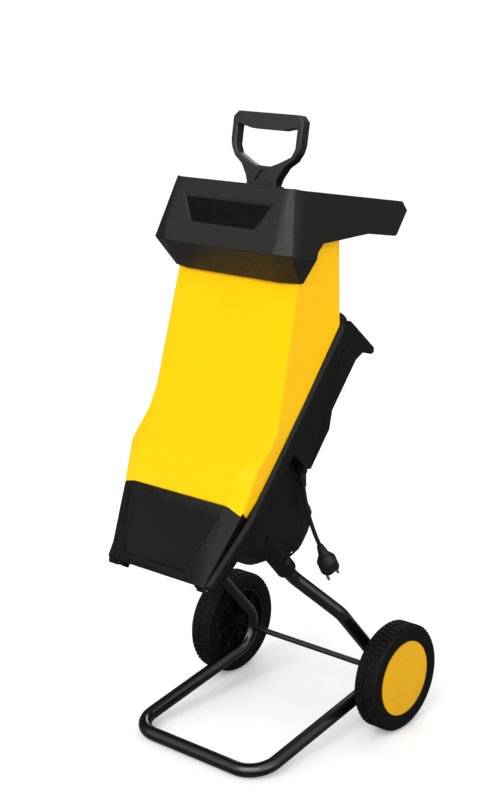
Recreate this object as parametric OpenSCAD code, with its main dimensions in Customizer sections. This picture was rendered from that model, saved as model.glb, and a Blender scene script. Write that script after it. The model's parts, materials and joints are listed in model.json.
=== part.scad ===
// Garden shredder on a bent tube stand: feed hood with push-down plunger, swing-open front,
// knife disc on a universal motor, two wheels and a short mains lead.
// Millimetres. Z is up, the front faces -Y, the origin is on the floor below the middle.

/* [Stand] */
// Outside diameter of the bent stand tube
tube_d = 22; // [18:1:28]
// Wall of the stand tube
tube_wall = 1.5; // [1:0.25:3]
// Half spacing of the two legs, centre to centre
leg_half = 133; // [120:1:145]
// Distance from the axle forward to the foot bar
foot_reach = 300; // [260:5:340]
// Upward slope of the legs from the foot bar to the axle, degrees
leg_slope = 9.5; // [7:0.5:12]
// Centreline radius of the two foot corners
corner_r = 45; // [40:1:60]
// Centreline radius of the bend that carries the axle
heel_r = 43; // [38:1:48]
// Lean of the uprights from the vertical, degrees
upright_lean = 42.3; // [40:0.1:45]
// Straight run of the upright above the axle bend
upright_run = 110; // [90:5:130]
// Inward set of each upright, degrees
set_angle = 27.5; // [20:0.5:35]
// Half spacing of the tube ends in the rear shell
socket_half = 84; // [80:1:90]
// Straight tube end that goes up into the shell
socket_run = 104; // [90:2:120]

/* [Wheels] */
// Wheel diameter over the tread
wheel_d = 180; // [160:2:200]
// Wheel width
wheel_w = 42; // [34:1:50]
// Gap between the inner faces of the two wheels
wheel_gap = 314; // [310:2:340]
// Axle diameter
axle_d = 10; // [8:1:12]
// Tread blocks round one wheel
tread_count = 60; // [40:2:80]
// Depth of the tread
tread_depth = 2.5; // [1.5:0.5:4]
// Hub cap diameter
hubcap_d = 126; // [110:2:130]

/* [Front body] */
// Lean of the parting face between front and rear from the vertical, degrees
split_tilt = 40.6; // [38:0.2:44]
// Distance from the axle forward to the lower end of the parting face
split_reach = 383; // [370:1:395]
// Height of the lower end of the parting face
split_height = 340; // [330:1:360]
// Distance from the axle forward to the straight rear wall of the front cover
cover_back = 85; // [80:1:90]
// Height of the upper edge of the front shoulder
shoulder_z = 585; // [575:1:600]
// Distance from the axle forward to the front face at the shoulder
cover_reach = 246; // [240:1:252]
// Lean of the upper front face, degrees
cover_lean = 14.7; // [13:0.1:16]
// Amount the shoulder steps forward
shoulder_out = 66; // [60:1:70]
// Height of the shoulder
shoulder_drop = 80; // [70:1:90]
// Half width of the front cover at the shoulder
cover_half = 130; // [126:0.5:134]
// Half width of the front where the cover meets the guard
skirt_half = 123; // [120:0.5:126]
// Half width of the front along the parting face
part_half = 118.5; // [116:0.5:121]
// Half width of the lower guard at its bottom edge
guard_half = 98.5; // [96:0.5:102]
// Height of the lower guard along the parting face
guard_len = 120; // [110:1:130]
// Stand-out of the guard front at its bottom edge
guard_lip = 13; // [12:0.5:16]
// Width of the angled facets beside the flat front
facet_w = 30; // [24:1:36]
// Set-back of those facets at the side of the guard
facet_back = 15; // [11:1:18]
// Set-back of those facets above the shoulder
facet_top = 4; // [2:0.5:8]
// Wall of the moulded shells
wall = 3; // [2.5:0.25:4]

/* [Feed hood] */
// Backward lean of the hood and the plunger, degrees
hood_tilt = 10; // [8:0.5:12]
// Distance from the axle forward to the plunger axis at the hood rim
hood_reach = 130; // [124:1:136]
// Height of the hood rim on the plunger axis
hood_z = 896.7; // [880:0.1:920]
// Half width of the hood at the rim
hood_half = 122; // [118:1:126]
// Half width of the hood at its front crease
crease_half = 137; // [133:1:142]
// Half width of the feed slot
slot_half = 78; // [72:1:82]
// Half depth of the feed slot, front to back
slot_deep = 33; // [30:1:35]
// Play of the plunger in the feed slot
plunger_play = 5; // [3:0.5:8]
// Length of the plunger below the hood rim
plunger_len = 262; // [230:2:270]
// Height of the plunger grip above the hood rim
grip_top = 110; // [102:1:118]

/* [Rear shell] */
// Width of the rim that stands out round the parting face
rim_w = 5; // [4:0.5:8]
// Depth of the cutting tray behind the parting face
tray_deep = 28; // [26:1:32]
// Half width of the upper box
box_half = 112; // [108:1:114]
// Depth of the upper box
box_deep = 80; // [76:1:86]
// Depth of the switch step
step_deep = 94; // [90:1:100]
// Length of the rear shell along the parting face
shell_len = 480; // [474:1:490]
// Depth of the motor housing to the vented cap
motor_deep = 165; // [160:1:172]
// Depth of the vented cap
cap_deep = 47; // [42:1:52]

/* [Cutter and motor] */
// Distance of the motor axis up the parting face
axis_up = 160; // [155:1:165]
// Knife disc diameter
disc_d = 184; // [170:2:190]
// Knife disc thickness
disc_t = 6; // [5:0.5:8]
// Motor shaft diameter
shaft_d = 12; // [10:1:14]
// Stator diameter
stator_d = 92; // [84:2:96]
// Stator bore
bore_d = 52; // [48:1:56]
// Air gap between armature and stator
air_gap = 0.6; // [0.4:0.1:1]

/* [Lead] */
// Diameter of the mains lead
cord_d = 7; // [6.5:0.5:8]
// Pin diameter of the plug
pin_d = 4.8; // [4:0.1:5]
// Free length of the plug pins
pin_len = 19; // [18:0.5:20]
// Pin spacing of the plug
pin_pitch = 19; // [18:0.5:20]

/* [Fits] */
// Radial play of turning parts
run_gap = 0.08; // [0.03:0.01:0.1]
// Play between seated parts
seat_gap = 0.05; // [0.02:0.01:0.1]
// Clear gap between moving mouldings
clear_gap = 0.6; // [0.4:0.1:1]

/* [Hidden] */
$fn = 48;
wheel_r = wheel_d / 2;
split_y = -split_reach;
// Along the parting face and square to it, as Y and Z steps.
up_y = sin(split_tilt);
up_z = cos(split_tilt);
// The whole object is shifted so that the middle of its depth is over the origin.
front_y = split_y - guard_lip * up_z;
stand_y = -(front_y + wheel_r) / 2;
// Length of one leg from the foot bar to the start of the axle bend.
axle_z = wheel_r;
foot_z = tube_d / 2;
leg_a = foot_reach * cos(leg_slope) + (axle_z - foot_z) * sin(leg_slope);
leg_n = (axle_z - foot_z) * cos(leg_slope) - foot_reach * sin(leg_slope);
leg_run = leg_a - sqrt(heel_r * heel_r - (leg_n - heel_r) * (leg_n - heel_r));
heel_turn = 90 + upright_lean - leg_slope;
set_r = 45;
set_run = (leg_half - socket_half - 2 * set_r * (1 - cos(set_angle))) / sin(set_angle);
// Bolt that holds each tube end, from the end of the tube.
bolt_back = 58;
bolt_d = 6;

// Height rows of the front body: height, front Y, half width at the front corner, half width at
// the parting face, set-back of the corner facet.
skirt_z = shoulder_z - shoulder_drop;
skirt_y = -cover_reach - shoulder_out;
guard_rise = 33;
guard_top_y = split_y + guard_len * up_y - guard_rise * up_z;
guard_top_z = split_height + guard_len * up_z + guard_rise * up_y;
guard_low_y = split_y - guard_lip * up_z;
guard_low_z = split_height + guard_lip * up_y;
body_top = 850;
body_low = guard_low_z - 30;
body_low_y = guard_low_y - (guard_top_y - guard_low_y) * 30 / (guard_top_z - guard_low_z);
body_top_y = -cover_reach + (body_top - shoulder_z) * tan(cover_lean);
function shoulder(f, g) = [shoulder_z - shoulder_drop * f, -cover_reach - shoulder_out * g];
body_rows = [
    [body_low, body_low_y, guard_half - 6, guard_half - 4, facet_back],
    [guard_low_z, guard_low_y, guard_half, guard_half + 1, facet_back],
    [guard_top_z, guard_top_y, skirt_half, part_half - 1, facet_back - 1],
    [skirt_z, skirt_y, cover_half - 1, part_half, facet_back],
    concat(shoulder(0.8, 0.7), [cover_half, part_half, facet_back - 4]),
    concat(shoulder(0.62, 0.42), [cover_half + 0.5, part_half, facet_top + 3]),
    concat(shoulder(0.42, 0.19), [cover_half, part_half, facet_top + 1]),
    [shoulder_z, -cover_reach, cover_half - 3, part_half, facet_top],
    [body_top, body_top_y, cover_half - 13, part_half - 5, facet_top]
];

// Hood outline seen from the side, on the hood axes: back from the plunger, up from the rim.
tray_v = 199;
tray_h = -55;
rim_v = -76;
crease_v = -96;
crease_h = -98;
face_run = (rim_v - crease_v) / -crease_h;
function hood_side(top) = [
    [rim_v + top * face_run, top], [tray_v, top], [tray_v + 14, -15], [tray_v - 15, tray_h],
    [110, tray_h], [51, -65], [-7, -75], [-20, -88], [-34, -135], [-51, -139], [crease_v, crease_h]
];
function hood_front(top) = [
    [-hood_half + top * 0.15, top], [hood_half - top * 0.15, top], [crease_half, crease_h],
    [crease_half - 13, -140], [13 - crease_half, -140], [-crease_half, crease_h]
];
floor_h = -72;
collar_v = slot_deep + 4;
collar_h = -75 + (collar_v + 7) * 10 / 58 + wall * 1.02 + 0.3;

// Outline of the parting face: distance up, half width of the cutting tray.
tray_low = guard_half + 2;
tray_half = part_half + 0.5;
function tray_line(g) = [
    [-tray_low - g, -min(g, 0)], [tray_low + g, -min(g, 0)], [tray_half + g, 118],
        [tray_half + g, shell_len - 24],
    [tray_half - 14 + g, shell_len + min(g, 0)], [14 - tray_half - g, shell_len + min(g, 0)],
    [-tray_half - g, shell_len - 24], [-tray_half - g, 118]
];
// Upper box seen from the side: up the parting face, depth as a negative height.
box_low = 248;
step_up = 322;
box_up = 349;
box_line = [
    [box_low, -tray_deep + 4], [box_low, -step_deep + 4], [box_low + 6, -step_deep],
    [step_up, -step_deep], [box_up, -box_deep], [shell_len - 40, -box_deep],
    [shell_len - 22, -box_deep - 8], [shell_len - 12, -box_deep - 30],
    [shell_len - 6, -box_deep - 34], [shell_len, -box_deep - 28], [shell_len, -tray_deep + 4]
];
box_hollow = [
    [box_low + wall, -tray_deep + 8], [box_low + wall, -step_deep + 5.5],
    [box_low + 7.5, -step_deep + wall], [step_up - 1, -step_deep + wall],
    [box_up - 1, -box_deep + wall], [shell_len - wall, -box_deep + wall],
    [shell_len - wall, -tray_deep + 8]
];

// Hinge at the lower end of the parting face.
hinge_h = -8;
hinge_r = 5;
hinge_pin_d = 4;
ear_in = 82;
ear_mid = 91;
ear_out = 100;

// Cutter stack, measured square to the parting face.
blade_top = -1.5;
blade_t = 4.5;
disc_top = blade_top - blade_t;
disc_low = disc_top - disc_t;
plate_t = 4;
plate_top = -tray_deep + plate_t;
bracket_low = -tray_deep - 14;
stator_top = -68;
stator_low = -132;
bearing_d = 32;
bearing_w = 10;
tail_d = 26;
tail_shaft = shaft_d - 2;
tail_low = -184;
drum_d = bore_d - 2 * air_gap;

// Lock knob.
lock_up = shell_len - 65;
lock_d = 10;
insert_h = 5.5;
lock_play = 0.9;

// Safety switch that the closed front presses.
interlock_x = -60;
interlock_up = shell_len - 44;

// Back plate of the feed chute.
back_low = 262;
back_h = 6;
back_t = 3;
back_half = part_half - wall - 1;

// Switch plate.
switch_up = 292;
panel_w = 96;
panel_l = 58;
panel_t = 3;
rocker_x = -20;
rocker_w = 22;
rocker_l = 30;
rocker_rest = 8;
rocker_pivot = 4;
rocker_pin_d = 4;
button_x = 26;
button_d = 11;

// Mains lead: exit on the underside of the switch step, then the hanging line to the plug.
exit_x = 104;
exit_y = -160;
exit_z = 466;
exit_lean = 8;
gland_len = 24;
cord_points = [
    [104, -158.05, 452], [104, -156.8, 444], [104, -155.3, 436], [104, -153.55, 428],
    [104, -151.55, 420], [104, -149.3, 412], [104, -146.8, 404], [104, -144.05, 396],
    [104, -141.05, 388], [104, -137.8, 380], [104, -134.25, 372], [104, -130.5, 364],
    [104, -126.5, 356], [104, -122.2, 348], [104, -117.7, 340], [104, -112.95, 332]
];
plug_at = cord_points[len(cord_points) - 1];
plug_dir = unit(plug_at - cord_points[len(cord_points) - 2]);
plug_neck = 26;
plug_body_l = 29;
plug_body_d = 32;

// Corner rounding and lofting helpers.
function unit(v) = v / norm(v);
function corner(p, q, s, r, n) =
    let (
        u = unit(p - q),
        w = unit(s - q),
        half = acos(u * w) / 2,
        c = q + unit(u + w) * r / sin(half),
        a = q + u * r / tan(half) - c,
        b = q + w * r / tan(half) - c,
        a0 = atan2(a[1], a[0]),
        turn = (atan2(b[1], b[0]) - a0 + 540) % 360 - 180
    )
    [for (i = [0:n]) c + r * [cos(a0 + turn * i / n), sin(a0 + turn * i / n)]];
function rounded(p, r, n) =
    [for (i = [0:len(p) - 1])
        each corner(p[(i + len(p) - 1) % len(p)], p[i], p[(i + 1) % len(p)], r, n)];

module loft(rings) {
    n = len(rings[0]);
    m = len(rings);
    polyhedron(
        points = [for (ring = rings) each ring],
        faces = concat(
            [[for (j = [0:n - 1]) j]],
            [[for (j = [0:n - 1]) m * n - 1 - j]],
            [for (i = [0:m - 2]) for (j = [0:n - 1]) [i * n + j, i * n + j + n, i * n + (j + 1) % n]],
            [for (i = [0:m - 2]) for (j = [0:n - 1])
                [i * n + j + n, i * n + n + (j + 1) % n, i * n + (j + 1) % n]]
        ),
        convexity = 6
    );
}

// Moves a part from the axle datum to the object origin.
module standing() translate([0, stand_y, 0]) children();

// Axes of the parting face: X across, Y up the face, Z forward out of it.
module on_split() translate([0, split_y, split_height]) rotate([90 - split_tilt, 0, 0]) children();

// Axes of the motor, on the parting face axes.
module on_axis() on_split() translate([0, axis_up, 0]) children();

// Axes of the hood and plunger.
module on_hood() translate([0, -hood_reach, hood_z]) rotate([-hood_tilt, 0, 0]) children();

module both_sides() {
    children();
    mirror([1, 0, 0]) children();
}

// Extrudes a side outline across the object, centred on X.
module across(half) rotate([90, 0, 90]) translate([0, 0, -half]) linear_extrude(2 * half) children();

// Stand tube pieces: each draws itself and passes its end on.
// A thin ring inside the wall ties neighbours.
module tube_ring(grow) {
    difference() {
        circle(d = tube_d - 2 * grow, $fn = 32);
        circle(d = tube_d - 2 * tube_wall + 2 * grow, $fn = 32);
    }
}

module tube_tie() translate([0, 0, -2]) linear_extrude(4) tube_ring(tube_wall / 8);

module tube_line(drawn, run) {
    if (drawn) {
        linear_extrude(run) tube_ring(0);
        translate([0, 0, run]) tube_tie();
    }
    translate([0, 0, run]) children();
}

module tube_bend(drawn, r, angle) {
    if (drawn)
        translate([r, 0, 0])
            rotate([90, 0, 180])
                rotate_extrude(angle = angle, $fn = 72) translate([r, 0]) tube_ring(0);
    translate([r * (1 - cos(angle)), 0, r * sin(angle)]) rotate([0, angle, 0]) {
        if (drawn) tube_tie();
        children();
    }
}

// The last straight run, without a tie at its free end.
module tube_top(drawn) {
    if (drawn) linear_extrude(socket_run) tube_ring(0);
    translate([0, 0, socket_run]) children();
}

module half_stand(drawn)
    translate([0, -foot_reach, foot_z])
        rotate([leg_slope, 0, 0])
            rotate([90, 0, 90])
                tube_line(drawn, leg_half - corner_r)
                    tube_bend(drawn, corner_r, 90)
                        tube_line(drawn, leg_run - corner_r)
                            rotate([0, 0, 90])
                                tube_bend(drawn, heel_r, heel_turn)
                                    tube_line(drawn, upright_run)
                                        rotate([0, 0, -90])
                                            tube_bend(drawn, set_r, set_angle)
                                                tube_line(drawn, set_run)
                                                    rotate([0, 0, 180])
                                                        tube_bend(drawn, set_r, set_angle)
                                                            tube_top(drawn) children();

module at_tube_end() both_sides() half_stand(false) children();

// Outside of the front cover and guard together, larger by g.
// Y of the parting face at a height, kept between the front corner and the rear wall.
function part_y(row) =
    let (y = split_y + (row[0] - split_height) * tan(split_tilt))
    min(max(y, row[1] + row[4] + 4), -cover_back - 20);
function body_ring(row, g) =
    let (
        w = row[2] + g,
        v = row[3] + g,
        f = row[1] - g,
        b = -cover_back + g,
        c = f + row[4],
        y = part_y(row)
    )
    [for (p = [[-w, c], [facet_w - w, f], [w - facet_w, f], [w, c], [v, y], [v, b], [-v, b], [-v, y]])
        [p[0], p[1], row[0]]];

module front_body(g) loft([for (row = body_rows) body_ring(row, g)]);

// Everything in front of the parting face between two distances up it.
module face_band(from, to, low = 0) on_split() translate([-200, from, low]) cube([400, to - from, 400]);

// Rows of fastener places.
cover_screw_x = 60;
join_h = 20;
join_low = 10;
base_screw_up = [300, shell_len - 40];
base_screw_x = 101;
foot_screw_up = 92;
foot_screw_x = 52;
back_screw_up = [296, shell_len - 40];
back_screw_x = 109;
hood_screw_x = 106;
hood_screw_v = -20;
cap_screw_x = 78;
cap_screw_up = [136, 206];
motor_screw_r = 50;

module at_base_screws() {
    on_split()
        both_sides() {
            for (u = base_screw_up) translate([base_screw_x, u, 0]) children();
            translate([foot_screw_x, foot_screw_up, 0]) children();
        }
}

module at_motor_screws() on_axis() for (a = [45:90:315]) rotate([0, 0, a])
    translate([motor_screw_r, 0, 0]) children();

module at_back_screws() on_split() both_sides() for (u = back_screw_up)
    translate([back_screw_x, u, 0]) children();

module at_hood_screws() on_hood() both_sides() translate([hood_screw_x, hood_screw_v, 0]) children();

module at_join_screws()
    on_split() both_sides() translate([cover_screw_x, guard_len - wall, join_h]) rotate([90, 0, 0])
        children();

module at_cap_screws() on_split() both_sides() for (u = cap_screw_up)
    translate([cap_screw_x, u, -motor_deep]) children();

// A pan head screw pointing down -Z with its head underside at zero.
module screw(d, run, head_d, head_h) {
    cylinder(d = head_d, h = head_h, $fn = 24);
    translate([0, 0, -run]) cylinder(d = d, h = run + 0.5, $fn = 24);
}

// Stand.
module stand_tube()
    color("#15161a")
        difference() {
            union() {
                both_sides() half_stand(true);
                translate([0, -foot_reach, foot_z]) rotate([0, 90, 0]) tube_tie();
            }
            translate([-200, 0, axle_z]) rotate([0, 90, 0])
                cylinder(d = axle_d + 2 * seat_gap, h = 400);
            at_tube_end()
                translate([-tube_d, 0, -bolt_back])
                    rotate([0, 90, 0])
                        cylinder(d = bolt_d + 0.2, h = 2 * tube_d, $fn = 24);
        }

module axle()
    color("#9a9ca0")
        translate([-wheel_gap / 2 - wheel_w + 10, 0, axle_z])
            rotate([0, 90, 0])
                cylinder(d = axle_d, h = wheel_gap + 2 * wheel_w - 20);

module axle_spacers()
    color("#1b1b1d")
        both_sides()
            translate([leg_half + tube_d / 2 + 0.4, 0, axle_z])
                rotate([0, 90, 0])
                    difference() {
                        cylinder(d = axle_d + 8, h = wheel_gap / 2 - leg_half - tube_d / 2 - 0.8);
                        translate([0, 0, -1]) cylinder(d = axle_d + 2 * seat_gap, h = 40);
                    }

hub_run = wheel_w - 18;

module axle_washers()
    color("#b4b6b8")
        both_sides()
            translate([wheel_gap / 2 + hub_run + 0.4, 0, axle_z])
                rotate([0, 90, 0])
                    difference() {
                        cylinder(d = axle_d + 12, h = 1.6);
                        translate([0, 0, -1]) cylinder(d = axle_d + 2 * seat_gap, h = 4);
                    }

module axle_caps()
    color("#c2c4c6")
        both_sides()
            translate([wheel_gap / 2 + hub_run + 2, 0, axle_z])
                rotate([0, 90, 0])
                    difference() {
                        union() {
                            cylinder(d = axle_d + 6, h = 2);
                            cylinder(d = axle_d + 3, h = wheel_w - hub_run - 9.5);
                        }
                        translate([0, 0, -1])
                            cylinder(d = axle_d + 2 * seat_gap, h = wheel_w - hub_run - 11);
                    }

// Wheels: drawn on the right, outer face towards +X.
tyre_in = wheel_r - 26;

// One row of tread blocks: a toothed ring, trimmed to the wheel diameter.
tread_step = 360 / tread_count;
function tread_tooth(i) =
    [for (k = [[-0.3, -2], [-0.26, 2], [0.26, 2], [0.3, -2]])
        let (a = (i + k[0]) * tread_step, d = wheel_r - (k[1] < 0 ? tread_depth - k[1] : -k[1]))
        d * [cos(a), sin(a)]];

module tread_row(from, run, turn)
    intersection() {
        cylinder(r = wheel_r, h = wheel_w, $fn = 96);
        translate([0, 0, from])
            rotate([0, 0, turn])
                linear_extrude(run)
                    difference() {
                        polygon([for (i = [0:tread_count - 1]) each tread_tooth(i)]);
                        circle(r = wheel_r - tread_depth - 6, $fn = 96);
                    }
    }

module tyre()
    color("#17171a")
        translate([wheel_gap / 2, 0, axle_z])
            rotate([0, 90, 0]) {
                rotate_extrude($fn = 96)
                    polygon([
                        [tyre_in, 1], [wheel_r - tread_depth - 5, 0], [wheel_r - tread_depth - 1, 3],
                        [wheel_r - tread_depth, 8], [wheel_r - tread_depth, wheel_w - 8],
                        [wheel_r - tread_depth - 1, wheel_w - 3], [wheel_r - tread_depth - 5, wheel_w],
                        [tyre_in, wheel_w - 1]
                    ]);
                tread_row(wheel_w * 0.1, wheel_w * 0.38, 0);
                tread_row(wheel_w * 0.52, wheel_w * 0.38, tread_step / 2);
            }

module rim()
    color("#1d1d20")
        translate([wheel_gap / 2, 0, axle_z])
            rotate([0, 90, 0])
                difference() {
                    union() {
                        difference() {
                            translate([0, 0, 1.5])
                                cylinder(r = tyre_in - seat_gap, h = wheel_w - 5, $fn = 96);
                            translate([0, 0, -1]) cylinder(r = tyre_in - 5, h = wheel_w + 2, $fn = 96);
                        }
                        translate([0, 0, 14]) cylinder(r = tyre_in - 3, h = 4, $fn = 96);
                        cylinder(d = axle_d + 18, h = hub_run);
                        for (a = [0:45:315])
                            rotate([0, 0, a]) translate([8, -1.6, 4]) cube([tyre_in - 11, 3.2, 12]);
                    }
                    translate([0, 0, -1]) cylinder(d = axle_d + 2 * run_gap, h = hub_run + 2);
                    for (a = [22.5:45:337.5])
                        rotate([0, 0, a]) translate([44, 0, 10]) cylinder(d = 12, h = 12, $fn = 24);
                }

module hubcap()
    color("#dca90f")
        translate([wheel_gap / 2 + wheel_w, 0, axle_z])
            rotate([0, 90, 0])
                rotate_extrude($fn = 96)
                    polygon([
                        [0, -2], [28, -2.6], [46, -4], [hubcap_d / 2 - 5, -7],
                        [hubcap_d / 2 - 5, -3.5 + seat_gap], [hubcap_d / 2, -3.5 + seat_gap],
                        [hubcap_d / 2, -1.6], [hubcap_d / 2 - 5, -0.4],
                        [46, 0.9], [44, 0.3], [30, 1.2], [0, 1.7]
                    ]);

module tyre_right() tyre();
module rim_right() rim();
module hubcap_right() hubcap();
module tyre_left() mirror([1, 0, 0]) tyre();
module rim_left() mirror([1, 0, 0]) rim();
module hubcap_left() mirror([1, 0, 0]) hubcap();

// Rear shell and what it carries.
motor_corner = 34;
function motor_ring(half, low, high, r, z) =
    [for (p = rounded([[-half, low], [half, low], [half, high], [-half, high]], r, 5)) [p[0], p[1], z]];
function motor_rings(g, far) = [
    motor_ring(86 + g, 113 - g, 232 + g, motor_corner + g, -motor_deep - (far ? 1 : 0)),
    motor_ring(96 + g, 80 - g, 260 + g, motor_corner + g, -112),
    motor_ring(100 + g, 64 - g, 266 + g, motor_corner - 6 + g, -tray_deep + (far ? 8 : 4))
];

function rim_ring(g, z) = [for (p = rounded(tray_line(g), 8, 4)) [p[0], p[1], z]];

module shell_outside() {
    translate([0, 0, -tray_deep - wall]) linear_extrude(tray_deep + wall)
        polygon(rounded(tray_line(0), 8, 4));
    loft([rim_ring(rim_w, -14), rim_ring(rim_w, -5), rim_ring(0.5, 0)]);
    across(box_half) polygon(rounded(box_line, 3, 3));
    loft(motor_rings(0, false));
}

module shell_hollow() {
    translate([0, 0, -tray_deep]) linear_extrude(tray_deep + 5)
        polygon(rounded(tray_line(-wall), 6, 4));
    across(box_half - wall) polygon(box_hollow);
    loft(motor_rings(-wall, true));
}

module cord_exit() translate([exit_x, exit_y, exit_z]) rotate([exit_lean, 0, 0]) children();

module rear_shell()
    color("#26262a")
        difference() {
            union() {
                on_split()
                    difference() {
                        shell_outside();
                        shell_hollow();
                        // Discharge mouth at the low end.
                        translate([-80, -10, -tray_deep - 10]) cube([160, 62, tray_deep + 20]);
                        // Room for the guard ears.
                        both_sides() translate([ear_in - clear_gap, -10, hinge_h - hinge_r - 2])
                            cube([ear_mid - ear_in + 2 * clear_gap, 19, 40]);
                        // Switch opening.
                        translate([rocker_x - 13, switch_up - 17, -step_deep - 5]) cube([26, 34, 20]);
                        translate([button_x, switch_up, -step_deep - 5]) cylinder(d = 16, h = 20);
                    }
                on_split() {
                    // Fixed hinge ears.
                    both_sides() translate([ear_mid + clear_gap, 0, hinge_h])
                        rotate([0, 90, 0]) cylinder(r = hinge_r, h = ear_out - ear_mid - clear_gap);
                    // Pillars for the base plate.
                    both_sides() {
                        for (u = base_screw_up)
                            translate([base_screw_x, u, -tray_deep - 34]) cylinder(r = 8.5, h = 34);
                        translate([foot_screw_x, foot_screw_up, -118])
                            cylinder(r = 8, h = 118 - tray_deep);
                    }
                    // Sleeve for the lock screw.
                    translate([0, lock_up, -box_deep + 1])
                        cylinder(d = lock_d + 10, h = box_deep - tray_deep - 1);
                    // Posts for the vented cap.
                    both_sides() for (u = cap_screw_up)
                        translate([cap_screw_x, u, -motor_deep + 4])
                            cylinder(r = 6.5, h = 24, $fn = 24);
                }
                at_tube_end() translate([0, 0, -socket_run + 14])
                    cylinder(d = tube_d + 11, h = socket_run - 10);
                cord_exit() cylinder(d = 17, h = 26);
            }
            at_tube_end() {
                translate([0, 0, -socket_run - 10])
                    cylinder(d = tube_d + 2 * seat_gap, h = socket_run + 10.2);
                translate([-30, 0, -bolt_back]) rotate([0, 90, 0])
                    cylinder(d = bolt_d + 0.2, h = 60, $fn = 24);
            }
            at_base_screws() translate([0, 0, -tray_deep - 22]) cylinder(d = 4.1, h = 30, $fn = 24);
            at_cap_screws() translate([0, 0, -1]) cylinder(d = 4.1, h = 20, $fn = 24);
            on_split() translate([0, lock_up, -box_deep - 5])
                cylinder(d = lock_d + 2 * lock_play, h = box_deep);
            on_split() both_sides() translate([ear_in - 1, 0, hinge_h])
                rotate([0, 90, 0]) cylinder(d = hinge_pin_d + 2 * seat_gap, h = 30, $fn = 32);
            cord_exit() translate([0, 0, -5]) cylinder(d = cord_d + 4, h = 40);
        }

module base_plate()
    color("#3a3b40")
        difference() {
            on_split()
                translate([0, 0, -tray_deep])
                    linear_extrude(plate_t)
                        polygon(rounded([
                            [-tray_low - 2.5, 58], [tray_low + 2.5, 58], [tray_half - wall - 0.3, 124],
                            [tray_half - wall - 0.3, shell_len - 28],
                                [tray_half - 22, shell_len - wall - 1],
                            [22 - tray_half, shell_len - wall - 1],
                                [wall + 0.3 - tray_half, shell_len - 28],
                            [wall + 0.3 - tray_half, 124]
                        ], 6, 4));
            on_axis() translate([0, 0, -60]) cylinder(d = shaft_d + 10, h = 80);
            at_base_screws() translate([0, 0, -60]) cylinder(d = 4.3, h = 80, $fn = 24);
            at_motor_screws() translate([0, 0, -60]) cylinder(d = 5.3, h = 80, $fn = 24);
            on_split() translate([0, lock_up, -60]) cylinder(d = lock_d + 2 * lock_play, h = 80);
            on_split() translate([interlock_x, interlock_up, -60]) cylinder(d = 6, h = 80, $fn = 24);
        }

module base_screws() color("#b9bbbd") at_base_screws() translate([0, 0, plate_top]) screw(4, 18, 8, 3);

module motor_screws() color("#b9bbbd") at_motor_screws() translate([0, 0, plate_top])
    screw(5, 15, 9, 3.2);

module front_bracket()
    color("#a9abad")
        difference() {
            on_axis()
                difference() {
                    union() {
                        translate([0, 0, bracket_low]) cylinder(r = 57, h = -tray_deep - bracket_low);
                        translate([0, 0, stator_top - 12])
                            cylinder(d = stator_d + 10, h = bracket_low - stator_top + 13);
                    }
                    translate([0, 0, stator_top - 13])
                        cylinder(d = stator_d + 2 * seat_gap, h = bracket_low - stator_top + 13);
                    translate([0, 0, bracket_low - 1])
                        cylinder(d = bearing_d + 2 * seat_gap, h = bearing_w + 3);
                    translate([0, 0, bracket_low]) cylinder(d = shaft_d + 8, h = 30);
                    for (a = [0:90:270])
                        rotate([0, 0, a]) translate([30, -11, stator_top + 4]) cube([40, 22, 16]);
                }
            at_motor_screws() translate([0, 0, bracket_low - 1]) cylinder(d = 5.1, h = 30, $fn = 24);
        }

module bearing_ring(d, bore, w)
    difference() {
        cylinder(d = d, h = w);
        translate([0, 0, -1]) cylinder(d = bore, h = w + 2);
    }

module front_bearing()
    color("#c9cbcd")
        on_axis() translate([0, 0, bracket_low + 2])
            bearing_ring(bearing_d, shaft_d + 2 * run_gap, bearing_w);

module rear_bearing()
    color("#c9cbcd")
        on_axis() translate([0, 0, tail_low + 2]) bearing_ring(tail_d, tail_shaft + 2 * run_gap, 8);

module stator()
    color("#6d6f73")
        on_axis()
            translate([0, 0, stator_low])
                difference() {
                    cylinder(d = stator_d, h = stator_top - stator_low);
                    translate([0, 0, -1]) cylinder(d = bore_d, h = 90);
                    for (a = [0, 180])
                        rotate([0, 0, a]) translate([-16, bore_d / 2 + 3, -1]) cube([32, 8, 90]);
                }

module field_coils()
    color("#a9632e")
        on_axis()
            for (a = [0, 180])
                rotate([0, 0, a])
                    translate([-15.8, bore_d / 2 + 3.2, stator_low - 8])
                        cube([31.6, 7.6, stator_top - stator_low + 14]);

module rear_bracket()
    color("#a9abad")
        on_axis()
            difference() {
                union() {
                    translate([0, 0, stator_low - 16]) cylinder(d = stator_d + 8, h = 24);
                    translate([-stator_d / 2 - 4, -10, tail_low + 6]) cube([stator_d + 8, 20, 40]);
                    translate([0, 0, tail_low]) cylinder(d = tail_d + 8, h = 14);
                }
                translate([0, 0, tail_low + 12]) cylinder(d = stator_d + 2 * seat_gap, h = 100);
                translate([0, 0, tail_low - 1]) cylinder(d = tail_d + 2 * seat_gap, h = 11);
                translate([0, 0, tail_low]) cylinder(d = tail_shaft + 6, h = 30);
            }

module brush_holders()
    color("#8a6a2c")
        on_axis()
            both_sides()
                translate([17.6, -5, -161]) cube([stator_d / 2 - 18.1, 10, 10]);

cap_rows = [[86, 113, 232, 34, 0], [82, 119, 229, 34, 0.55], [70, 134, 217, 30, 1]];
function cap_rings(g) = [
    for (i = [2, 1, 0])
        motor_ring(cap_rows[i][0] - g, cap_rows[i][1] + g, cap_rows[i][2] - g, cap_rows[i][3] - g,
            -motor_deep - cap_deep * cap_rows[i][4] + (i == 2 ? g : 0) + (i == 0 && g > 0 ? 1 : 0))
];

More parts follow.
